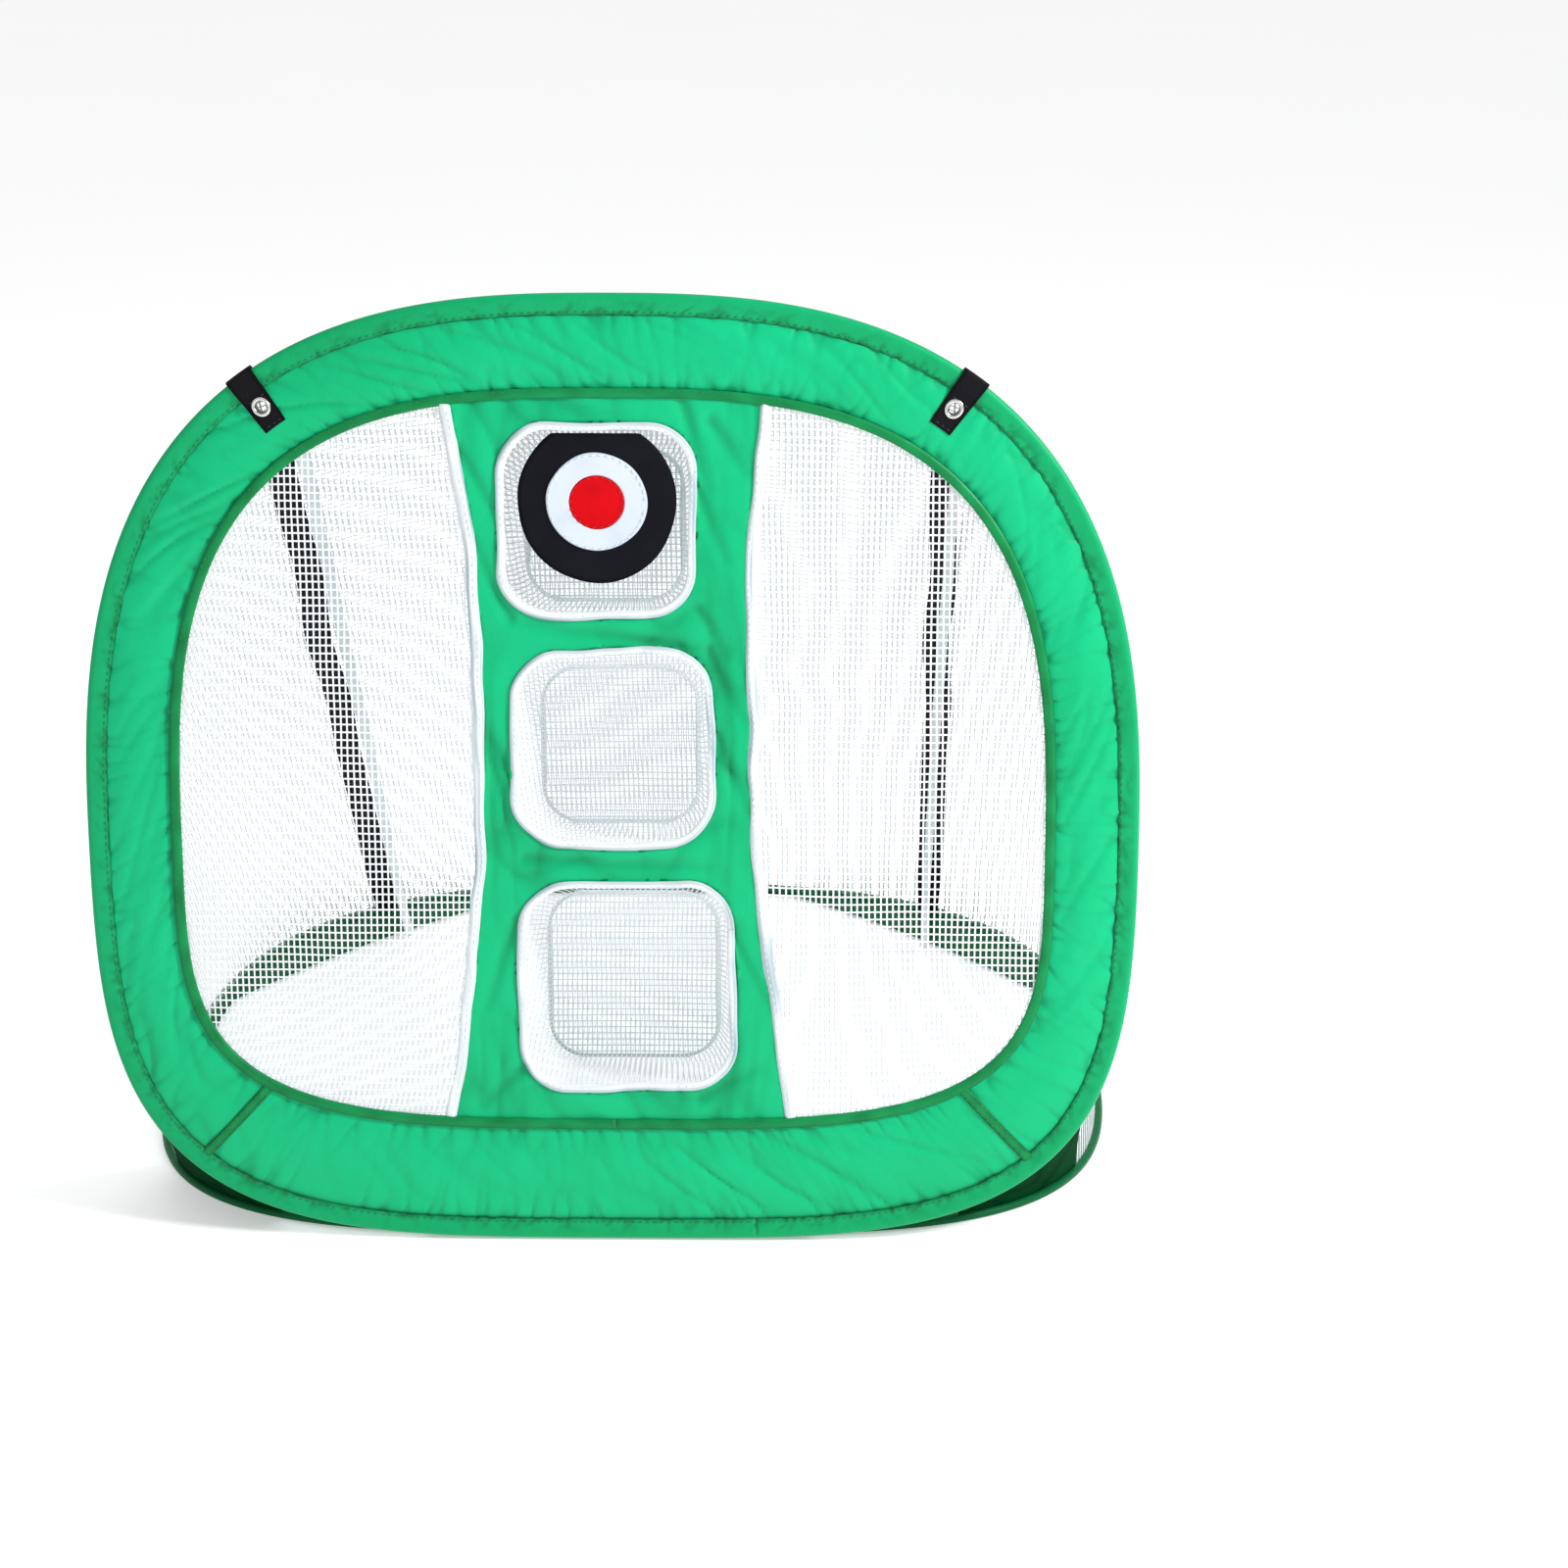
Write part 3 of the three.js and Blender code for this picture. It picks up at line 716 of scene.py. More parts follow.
def borderRelief(along, w, seed):
    # how far the cloth stands off the plane, and how much painted shade it takes, in its creases and along
    # the sleeve's edge
    outerPull = np.exp(-np.maximum(w - 0.1, 0) / 0.2)
    innerPull = np.exp(-np.maximum(0.94 - w, 0) / 0.12)
    gathered = creases(along * 75 + w * 1.2, w * 1.4, seed)
    slanted = creases(along * 26 + w * 2.6, w * 1.1 + 4, seed + 7, 2.6)
    cover = np.clip(waves(along * 5, w * 0.6, 3.0, seed) + 0.55, 0, 1)
    pillow = np.sin(np.clip((w - 0.1) / 0.86, 0, 1) * math.pi) ** 0.7
    lift = borderLook["bulge"] * pillow
    beyondStitch = np.clip(w * 12 - 0.9, 0, 1)
    lift = lift - borderLook["pucker"] * gathered * (outerPull + 0.7 * innerPull) * beyondStitch
    lift = lift - borderLook["fold"] * slanted * pillow * cover
    lift = lift + 0.0007 * waves(along * 30, w * 3, 0.0, seed + 2) * pillow
    depth = 0.35 * gathered * np.clip(outerPull + innerPull, 0, 1) + 0.12 * slanted * cover
    # a line of painted shade along the sleeve's edge
    edge = np.exp(-np.abs(w - 0.085) / 0.022)
    return lift, np.clip(depth + 0.85 * edge, 0, 1)


def makeBorder(name, node, mitres, cells, seed):
    hoopEnds, windowEnds = mitres
    length = (hoopEnds[1] - hoopEnds[0]) * hoop.length
    width = borderLook["width"]

    def place(x, y, _):
        lift, crease = borderRelief(x, y / width, seed)
        return standing(*borderLine(x / length, y / width, hoopEnds, windowEnds), lift), {"crease": crease}

    def keep(x, y):
        px, ps = borderLine(np.array(x / length), np.array(y / width), hoopEnds, windowEnds)
        return min(math.hypot(px - ex, ps - es) for ex, es in eyeletPlaces) > borderLook["eyeletRoom"]

    bm = flatGrid((0, 0), (length, width), cells)
    trimmed(bm, keep)
    layUv(bm)
    cloth = placed(name, bm, place, "green")
    thickened(cloth, borderLook["cloth"])
    finished(cloth, "green_cloth", "front", node)
    return cloth


archEnds = (mitreHoop, 1 - mitreHoop), (mitreWindow, 1 - mitreWindow)
footEnds = (-mitreHoop, mitreHoop), (-mitreWindow, mitreWindow)
arch = makeBorder("borderArch", "border_arch", archEnds, borderLook["archCells"], 11.3)
foot = makeBorder("borderFoot", "border_foot", footEnds, borderLook["footCells"], 23.9)
print("border made")

# Window binding and mitre seams

bindingLook = {
    "width": 0.006,
    "half": 0.0019,
    "steps": 640,
    "cloth": 0.0005,
    "mitreWidth": 0.007,
    "mitreCloth": 0.0006,
}


def makeBinding():
    width, half = bindingLook["width"], bindingLook["half"]

    def place(x, w, _):
        # from the back edge round the fold to the front edge
        turn = (w - 0.5) * math.pi
        inset = -width + (width + 0.0006) * np.cos(turn) ** 0.6
        lift = half * np.sign(w - 0.5) * np.abs(np.sin(turn)) ** 0.5
        along = x * window.length
        lift = lift + waves(along * 90, w * 3, 0.0, 5.0) * 0.0004
        crease = np.clip(0.35 + 0.8 * waves(along * 60, w * 2, 0.0, 6.0), 0, 1) * 0.6
        return standing(*window.at(x, inset), lift), {"crease": crease}

    bm = flatGrid((0, 0), (1, 1), (bindingLook["steps"], 10))
    layUv(bm, window.length, 2 * width)
    binding = placed("windowBinding", bm, place, "seam", merge=True)
    thickened(binding, bindingLook["cloth"], offset=-1.0)
    finished(binding, "green_seam", "front", "border_binding")

    def stitchLine(along, across, up):
        return standing(*window.at(along / window.length, across - width * 0.72), half + up + 0.0002)

    makeStitches("bindingStitches", window.length, stitchLine, "greenThread", "green_seam", "front")


def makeMitreSeam(name, node, side):
    inner = np.array([side, 1]) * window.at(mitreWindow, -0.004)
    outer = np.array([side, 1]) * hoop.at(mitreHoop, 0.012)
    run = outer - inner
    length = float(np.hypot(*run))
    sideways = np.array([-run[1], run[0]]) / length
    if side < 0:
        sideways = -sideways
    half = bindingLook["mitreWidth"] / 2

    def place(x, y, _):
        share = x / length
        pillow = borderLook["bulge"] * np.sin(np.clip(share, 0, 1) * math.pi) ** 0.7
        lift = 0.0010 + pillow * 0.9 + 0.0006 * (1 - (y / half) ** 2)
        lift = lift + waves(x * 160, y * 60, 0.0, 2.2) * 0.0003
        px = inner[0] + run[0] * share + sideways[0] * y
        py = inner[1] + run[1] * share + sideways[1] * y
        # painted shade along the seam's edges outside its stitches, and random darker blotches
        blotches = waves(x * 120, y * 50, 0.0, 8.8)
        crease = np.clip(0.5 * (np.abs(y) > half * 0.6) + 0.5 * blotches, 0, 1)
        return standing(px, py, lift), {"crease": crease}

    bm = flatGrid((0, -half), (length, half), (36, 6))
    layUv(bm)
    if side < 0:
        bmesh.ops.reverse_faces(bm, faces=bm.faces)
    seam = placed(name, bm, place, "seam")
    thickened(seam, bindingLook["mitreCloth"])
    finished(seam, "green_seam", "front", node)
    for word, y in (("Upper", half * 0.6), ("Lower", -half * 0.6)):

        def stitchLine(along, across, up):
            share = along / length
            lift = 0.0018 + borderLook["bulge"] * 0.9 * np.sin(np.clip(share, 0, 1) * math.pi) ** 0.7
            px = inner[0] + run[0] * share + sideways[0] * (y + across)
            py = inner[1] + run[1] * share + sideways[1] * (y + across)
            return standing(px, py, lift + up)

        makeStitches(name + word + "Stitches", length, stitchLine, "greenThread", "green_seam", "front")


makeBinding()
for side, word in sides:
    makeMitreSeam("mitreSeam" + word.capitalize(), "mitre_seam_" + word, side)
print("binding made")

# Target panel with its holes and tapes

holeLooks = {
    "top": {"aside": -0.0085, "centre": 0.525, "width": 0.137, "height": 0.134},
    "middle": {"aside": 0.001, "centre": 0.364, "width": 0.138, "height": 0.141},
    "bottom": {"aside": 0.009, "centre": 0.190, "width": 0.152, "height": 0.154},
}
holeCorner = 0.034
panelLook = {
    # how far the panel reaches at its top, the pull at its waist, and its foot
    "right": (0.105, 0.077, 0.123),
    "left": (0.110, 0.063, 0.116),
    "cell": 0.0024,
    "cloth": 0.0008,
    "tapeCloth": 0.0010,
    "holeTapeCloth": 0.0004,
    "farthest": 0.126,
    "underBinding": 0.0045,
    "tapeWidth": 0.007,
    "holeTape": 0.0042,
    "crease": 0.0024,
    "pull": (0.0024, 0.0042),  # how deep and how wide the long folds are
}
# where the long folds run, from the end where they are deepest
panelPulls = (
    ((0.068, 0.594), (0.093, 0.558)),
    ((0.050, 0.606), (0.068, 0.546)),
    ((0.061, 0.546), (0.081, 0.501)),
    ((0.062, 0.462), (0.078, 0.428)),
    ((0.068, 0.432), (0.090, 0.384)),
    ((0.071, 0.372), (0.094, 0.318)),
    ((-0.103, 0.573), (-0.080, 0.531)),
    ((-0.070, 0.458), (-0.099, 0.516)),
    ((-0.068, 0.342), (-0.090, 0.381)),
    ((-0.069, 0.240), (-0.091, 0.174)),
    ((0.048, 0.436), (-0.062, 0.455)),
    ((-0.062, 0.285), (0.068, 0.277)),
    ((0.077, 0.246), (0.109, 0.174)),
    ((-0.062, 0.132), (-0.095, 0.100)),
    ((0.060, 0.106), (0.100, 0.128)),
)


def holeLoop(hole):
    # a rounded rectangle, anticlockwise from the middle of its right side
    x, y = hole["width"] / 2 - holeCorner, hole["height"] / 2 - holeCorner
    points = []
    for corner, (cx, cy) in enumerate(((x, y), (-x, y), (-x, -y), (x, -y))):
        for i in range(13):
            turn = math.radians(corner * 90 + i * 7.5)
            px = hole["aside"] + cx + holeCorner * math.cos(turn)
            points.append((px, hole["centre"] + cy + holeCorner * math.sin(turn)))
    return Loop(points)


holeLoops = {name: holeLoop(hole) for name, hole in holeLooks.items()}


def depthInHole(hole, x, s):
    # how far inside a hole's edge a point lies, below 0 outside it
    dx = abs(x - hole["aside"]) - hole["width"] / 2 + holeCorner
    dy = abs(s - hole["centre"]) - hole["height"] / 2 + holeCorner
    return holeCorner - math.hypot(max(dx, 0), max(dy, 0)) - min(max(dx, dy), 0)


edgeCurve = np.linspace(0, 1, 200)
edgeWeights = ((1 - edgeCurve) ** 2, 2 * edgeCurve * (1 - edgeCurve), edgeCurve**2)
edgeGuide = (windowLook["top"] + 0.005, 0.6 * windowLook["top"], 0.085)
edgeHeights = sum(w * s for w, s in zip(edgeWeights, edgeGuide))
edgeReaches = {side: sum(w * x for w, x in zip(edgeWeights, panelLook[word])) for side, word in sides}


def panelReach(s, side):
    # how far the panel reaches to one side at a height
    return np.interp(s, edgeHeights[::-1], edgeReaches[side][::-1])


def slackAt(x, s):
    # 0 where the window's binding holds the cloth, 1 where it is free
    return np.clip(np.minimum(windowTopAt(x) - s, s - windowBottomAt(x)) / 0.03, 0, 1)


def drift(x, s):
    # the easy waviness of cloth that isn't pulled quite straight, in its own plane
    slack = slackAt(x, s)
    dx = 0.0034 * waves(x * 9, s * 9, 0.0, 31.0) + 0.0022 * waves(x * 26, s * 26, 0.0, 32.0)
    ds = 0.0034 * waves(x * 9, s * 9, 0.0, 33.0) + 0.0024 * waves(x * 26, s * 26, 0.0, 34.0)
    return x + dx * (0.3 + 0.7 * slack), s + ds * slack


def panelRelief(x, s):
    upright = creases(x * 60, s * 7 + x * 8, 41.0, 3.0)
    slant = creases(x * 24 + s * 17, s * 12 - x * 10, 42.0, 2.8)
    level = creases(x * 12, s * 55, 43.0, 3.0)
    edge = np.clip((np.abs(x) - 0.055) / 0.03, 0, 1)
    patchy = np.clip(waves(x * 11, s * 7, 0.0, 44.0) * 1.6 + 0.45, 0, 1)
    depth = 0.7 * upright * edge * patchy + 0.7 * slant * patchy + 0.35 * level * (1 - edge) * patchy
    lift = 0.0016 * waves(x * 14, s * 10, 0.0, 45.0) - panelLook["crease"] * depth
    deepest, wide = panelLook["pull"]
    pulled = np.zeros(np.shape(x))
    for (startX, startS), (endX, endS) in panelPulls:
        runX, runS = endX - startX, endS - startS
        t = np.clip(((x - startX) * runX + (s - startS) * runS) / (runX**2 + runS**2), 0, 1)
        away = np.hypot(x - startX - t * runX, s - startS - t * runS)
        pulled = np.maximum(pulled, np.exp(-((away / wide) ** 2)) * (1 - 0.6 * t))
    # the second value is painted shade in the creases and long folds
    return lift - deepest * pulled, np.clip(0.4 * depth + 0.3 * pulled, 0, 1)


def windowTopAt(x):
    high, power = windowLook["top"] - hoopLook["belly"], windowLook["topPower"]
    across = abs(x / windowLook["halfWidth"])
    return hoopLook["belly"] + high * np.maximum(1 - across**power, 0) ** (1 / power)


def windowBottomAt(x):
    deep = hoopLook["belly"] - windowLook["bottom"]
    power = hoopLook["cornerPower"]
    across = abs(x / windowLook["halfWidth"])
    return hoopLook["belly"] - deep * np.maximum(1 - across**power, 0) ** (1 / power)


def makePanel():
    cell, under = panelLook["cell"], panelLook["underBinding"]
    low = (-panelLook["farthest"], windowLook["bottom"] - under)
    high = (panelLook["farthest"], windowLook["top"] + under)
    cells = (round((high[0] - low[0]) / cell), round((high[1] - low[1]) / cell))

    def keep(x, s):
        if abs(x) > panelReach(s, 1 if x > 0 else -1) + cell * 0.25:
            return False
        if s > windowTopAt(x) + under or s < windowBottomAt(x) - under:
            return False
        return all(depthInHole(hole, x, s) < cell * 0.25 for hole in holeLooks.values())

    bm = flatGrid(low, high, cells)
    trimmed(bm, keep)
    for vert in bm.verts:
        if not vert.is_boundary:
            continue
        x, s = vert.co.xy
        for name, hole in holeLooks.items():
            depth = depthInHole(hole, x, s)
            if abs(depth) < cell * 1.6:
                loop = holeLoops[name]
                vert.co.xy = [float(c) for c in loop.at(loop.near(x, s))]
        edge = float(panelReach(s, 1 if x > 0 else -1))
        if abs(abs(x) - edge) < cell * 1.6:
            vert.co.x = math.copysign(edge, x)
    layUv(bm)

    def place(x, s, _):
        lift, crease = panelRelief(x, s)
        return standing(*drift(x, s), lift), {"crease": crease}

    panel = placed("targetPanel", bm, place, "green")
    thickened(panel, panelLook["cloth"])
    finished(panel, "green_cloth", "front", "target_panel")


def makeHoleTape(name, hole):
    loop = holeLoops[name]
    width = panelLook["holeTape"]

    def place(x, w, _):
        # from the back edge over the fold to the front edge, folded round the cut edge of the panel
        turn = (w - 0.5) * math.pi
        inset = -0.0012 + (width + 0.0012) * np.cos(turn) ** 0.8
        px, ps = loop.at(x, inset)
        base, _crease = panelRelief(px, ps)
        along = x * loop.length
        lift = 0.0014 * np.sign(w - 0.5) * np.abs(np.sin(turn)) ** 0.6 + base * 0.8
        lift = lift + waves(along * 55, w * 2, 0.0, 51.0) * 0.0006
        # painted grey shade in patches and along the tape's front edge on the panel
        softShade = np.clip(waves(along * 22, w * 4, 0.0, 52.0) * 1.6, 0, 1) * 0.7 + 0.5 * (w > 0.9)
        return standing(*drift(px, ps), lift), {"crease": np.clip(softShade, 0, 1)}

    bm = flatGrid((0, 0), (1, 1), (260, 12))
    layUv(bm, loop.length, 2 * width)
    tape = placed("holeTape" + name.capitalize(), bm, place, "tape", merge=True)
    thickened(tape, panelLook["holeTapeCloth"], offset=-1.0)
    finished(tape, "white_tape", "front", "hole_tape_" + name)

    def stitchLine(along, across, up):
        px, ps = loop.at(along / loop.length, width * 0.55 + across)
        base, _crease = panelRelief(px, ps)
        return standing(*drift(px, ps), base * 0.8 + 0.0016 + up)

    name = tape.name + "Stitches"
    makeStitches(name, loop.length, stitchLine, "whiteThread", "white_tape", "front")


def makePanelTape(name, node, side):
    width = panelLook["tapeWidth"]
    ends = windowLook["top"], windowLook["bottom"]
    topReach, footReach = (float(panelReach(s, side)) + width / 2 for s in ends)
    low, high = windowBottomAt(footReach) - 0.0004, windowTopAt(topReach) + 0.0004

    def place(s, w, _):
        reach = panelReach(s, side) - 0.0008 + w * (width + 0.0008)
        x = side * reach
        base, _crease = panelRelief(x, s)
        lift = 0.0013 * np.sin(np.clip(w * 1.04, 0, 1) * math.pi) ** 0.5 + 0.0004 + base * 0.7
        lift = lift + waves(s * 45, w * 2, 0.0, 61.0 + side) * 0.0007
        # painted grey shade in patches and along the panel's edge
        softShade = np.clip(waves(s * 12, w * 3, 0.0, 62.0 + side) * 1.7, 0, 1) * 0.8
        softShade = softShade + 0.5 * (np.abs(w - 0.1) < 0.08)
        return standing(*drift(x, s), lift), {"crease": np.clip(softShade, 0, 1)}

    bm = flatGrid((low, 0), (high, 1), (210, 8))
    layUv(bm, 1.0, width)
    if side > 0:
        bmesh.ops.reverse_faces(bm, faces=bm.faces)
    tape = placed(name, bm, place, "tape")
    thickened(tape, panelLook["tapeCloth"], offset=-1.0)
    finished(tape, "white_tape", "front", node)

    def stitchLine(along, across, up):
        s = low + along
        x = side * (panelReach(s, side) + width * 0.3 + across)
        base, _crease = panelRelief(x, s)
        return standing(*drift(x, s), base * 0.7 + 0.0018 + up)

    makeStitches(name + "Stitches", high - low, stitchLine, "whiteThread", "white_tape", "front")


makePanel()
for name, hole in holeLooks.items():
    makeHoleTape(name, hole)
for side, word in sides:
    makePanelTape("panelTape" + word.capitalize(), "panel_tape_" + word, side)
print("target panel made")

# Nets: real open mesh, every thread modelled

netLook = {"pitch": (0.0042, 0.0056), "thread": 0.0012, "floorThread": 0.0009, "drift": 0.0011}


def netGrid(low, high, keep, thread=netLook["thread"]):
    pitch = netLook["pitch"]
    cells = (round((high[0] - low[0]) / pitch[0]), round((high[1] - low[1]) / pitch[1]))
    bm = flatGrid(low, high, cells)
    trimmed(bm, keep)
    openNet(bm, thread)
    return bm, sum(face.calc_area() for face in bm.faces)


def declareNet(flat, clothArea, restsOn):
    # works out the area of the threads alone, but never below 0.3 of the flat sheet, and keeps
    # nothing; the area is that of the threads alone, but never below the least that a sheet may state
    least = 0.3 * flat[0] * flat[1]
    max(clothArea, least)
    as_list(restsOn)


def netWave(x, y, seed):
    size = netLook["drift"]
    return size * waves(x * 16, y * 16, 0.0, seed), size * waves(x * 16, y * 16, 0.0, seed + 1)


def makeWindowNet(name, node, side):
    spare, under = 0.006, 0.004
    low = (0.075, windowLook["bottom"] - spare)
    high = (windowLook["halfWidth"] + spare, windowLook["top"] + spare)
    reach, belly = windowLook["halfWidth"] + under, hoopLook["belly"]

    def keep(x, s):
        if x < panelReach(s, side) + 0.0025 or x > reach:
            return False
        power, span = windowLook["topPower"], windowLook["top"] - belly
        if s <= belly:
            power, span = hoopLook["cornerPower"], belly - windowLook["bottom"]
        return (x / reach) ** power + (abs(s - belly) / (span + under)) ** power < 1

    bm, clothArea = netGrid(low, high, keep)
    if side < 0:
        bmesh.ops.reverse_faces(bm, faces=bm.faces)

    def place(x, s, _):
        dx, ds = netWave(x, s, 71.0 + side)
        near = np.clip(1 - (x - panelReach(s, side)) / 0.05, 0, 1)
        px, ps = drift(side * x, s)
        px = px * near + side * (x + dx) * (1 - near)
        ps = ps * near + (s + ds) * (1 - near)
        lift = 0.0010 * waves(x * 8, s * 6, 0.0, 73.0 + side)
        slack = slackAt(x, s)
        return standing(px, ps, lift * slack - 0.0012 * (1 - slack))

    piece = placed(name, bm, place, "net")
    finished(piece, "white_mesh", "front", node)
    declareNet((0.225, 0.520), clothArea, ["border_binding"])


def makeFloorNet():
    halfWidth, depth = hoopLook["halfWidth"] - 0.009, hoopLook["top"]
    room, edge = 0.0085, 0.004

    def keep(x, s):
        nearest = np.array(hoop.at(hoop.near(x, s)))
        return float(np.hypot(*(nearest - (x, s)))) > room and inHoop(x, s)

    low, high = (-halfWidth, edge), (halfWidth, depth - edge)
    bm, clothArea = netGrid(low, high, keep, netLook["floorThread"])

    def place(x, s, _):
        dx, ds = netWave(x, s, 75.0)
        sag = 0.0006 * waves(x * 7, s * 7, 0.0, 77.0)
        return lying(x + dx, s + ds, -0.0012 + sag)

    piece = placed("floorNet", bm, place, "net")
    finished(piece, "white_mesh", "base", "floor_net")
    declareNet((2 * halfWidth, depth - 0.008), clothArea, ["ground_sleeve"])


def inHoop(x, s):
    belly, halfWidth, power = hoopLook["belly"], hoopLook["halfWidth"], hoopLook["topPower"]
    if s > belly:
        return (abs(x) / halfWidth) ** power + ((s - belly) / (hoopLook["top"] - belly)) ** power < 1
    rise, power = (belly - s) / belly, hoopLook["cornerPower"]
    return (abs(x) / (halfWidth * (1 - hoopLook["taper"] * rise * rise))) ** power + rise**power < 1


# Sheets between the hoops run straight from a point of one to the same point of the other, so they
# unroll flat: "along" is measured square to those straight lines, "up" along them from half way.

stretchLook = {"netInset": 0.006, "netSag": 0.005, "goreSag": 0.002, "goreCloth": 0.0006}


class Stretch:
    def __init__(self, fromShare, toShare, groundEnd, frontEnd, groundShift=0.0):
        # groundEnd and frontEnd are each (inset, lift), and groundShift is along the ground hoop
        self.groundEnd, self.frontEnd, self.groundShift = groundEnd, frontEnd, groundShift
        self.shares = np.linspace(fromShare, toShare, 600)
        ground, front = self.ends(self.shares)
        ruling = (front - ground)[len(ground) // 2]
        ruling = ruling / np.linalg.norm(ruling)
        middle = (ground + front) / 2
        across = middle - np.outer(middle @ ruling, ruling)
        steps = np.linalg.norm(np.diff(across, axis=0), axis=1)
        self.walked = np.concatenate([[0], np.cumsum(steps)])
        self.width = float(self.walked[-1])
        self.lengths = np.linalg.norm(front - ground, axis=1)
        self.length = float(self.lengths.max())

    def ends(self, shares):
        return onGround(shares + self.groundShift, *self.groundEnd), onHoop(shares, *self.frontEnd)

    def lengthAt(self, along):
        return np.interp(along, self.walked, self.lengths)

    def place(self, along, up, sag, seed):
        shares = np.interp(along, self.walked, self.shares)
        ground, front = self.ends(shares)
        ruling = front - ground
        length = np.linalg.norm(ruling, axis=1)
        t = np.clip(0.5 + up / length, 0, 1)[:, None]
        point = ground + ruling * t
        ahead, _front = self.ends(shares + 0.001)
        inward = np.cross(ruling, ahead - ground)
        inward = inward / np.linalg.norm(inward, axis=1)[:, None]
        bow = sag * np.sin(t[:, 0] * math.pi) * (1 + 0.5 * waves(along * 6, up * 6, 0.0, seed))
        point = point + inward * bow[:, None]
        angles = [np.arctan2(p[:, 2] - hinge.z, p[:, 1] - hinge.y) for p in (ground, point, front)]
        share = (angles[1] - angles[0]) / np.maximum(angles[2] - angles[0], 0.01)
        share = np.where(t[:, 0] <= 0, 0, np.where(t[:, 0] >= 1, 1, share))
        return point, {"foldShare": np.clip(share, 0, 1)}


def makeStretchedNet(name, node, fromShare, toShare, seed):
    inset = stretchLook["netInset"]
    stretch = Stretch(fromShare, toShare, (inset, 0.0), (inset, 0.0))
    rows = netLook["pitch"][1]
    top = rows * math.ceil(stretch.length / 2 / rows)

    def keep(along, up):
        return abs(up) < stretch.lengthAt(along) / 2

    bm, clothArea = netGrid((0, -top), (stretch.width, top), keep)

    def place(along, up, _):
        dAlong, dUp = netWave(along, up, seed)
        free = np.clip(np.minimum(along, stretch.width - along) / 0.02, 0, 1)
        return stretch.place(along + dAlong * free, up + dUp, stretchLook["netSag"], seed)

    piece = placed(name, bm, place, "net")
    bendsWithFold(piece, "white_mesh", node)
    flat, hoops = (stretch.width, stretch.length), ["front_sleeve", "ground_sleeve"]
    declareNet(flat, clothArea, hoops)


netSeam = hoop.near(0.276, 0.598)
goreStart = hoop.near(0.250, 0.022)
netStart = hoop.near(0.340, 0.110)
for side, word in sides:
    makeWindowNet("windowNet" + word.capitalize(), "window_net_" + word, side)
makeFloorNet()
makeStretchedNet("rearNet", "rear_net", netSeam, 1 - netSeam, 81.0)
makeStretchedNet("sideNetRight", "side_net_right", netStart, netSeam, 83.0)
makeStretchedNet("sideNetLeft", "side_net_left", 1 - netSeam, 1 - netStart, 85.0)
print("nets made")


def makeGore(name, node, fromShare, toShare, seed):
    # a cloth corner that closes the hoops together beside their joint
    inset = stretchLook["netInset"]
    stretch = Stretch(fromShare, toShare, (inset, 0.0), (inset, 0.0))

    def place(along, w, _):
        length = stretch.lengthAt(along)
        point, extras = stretch.place(along, (w - 0.5) * length, stretchLook["goreSag"], seed)
        # painted shade in its creases
        extras["crease"] = 0.6 * creases(along * 30, w * 2, seed)
        return point, extras

    bm = flatGrid((0, 0), (stretch.width, 1), (70, 24))
    layUv(bm, 1.0, stretch.length)
    gore = placed(name, bm, place, "gore")
    thickened(gore, stretchLook["goreCloth"])
    bendsWithFold(gore, "green_seam", node)
    heights = (stretch.lengths[1:] + stretch.lengths[:-1]) / 2
    clothArea = float(np.sum(np.diff(stretch.walked) * heights))
    flat, hoops = (stretch.width, stretch.length), ["front_sleeve", "ground_sleeve"]
    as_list(hoops)


makeGore("frontGoreRight", "front_gore_right", goreStart, netStart, 87.0)
makeGore("frontGoreLeft", "front_gore_left", 1 - netStart, 1 - goreStart, 88.0)
print("gores made")

# Pockets: a mesh wall and a mesh back behind each hole

pocketLook = {"depth": 0.090, "sag": 0.020, "narrowing": 0.16, "mouth": -0.0008, "keepFolded": 0.12}


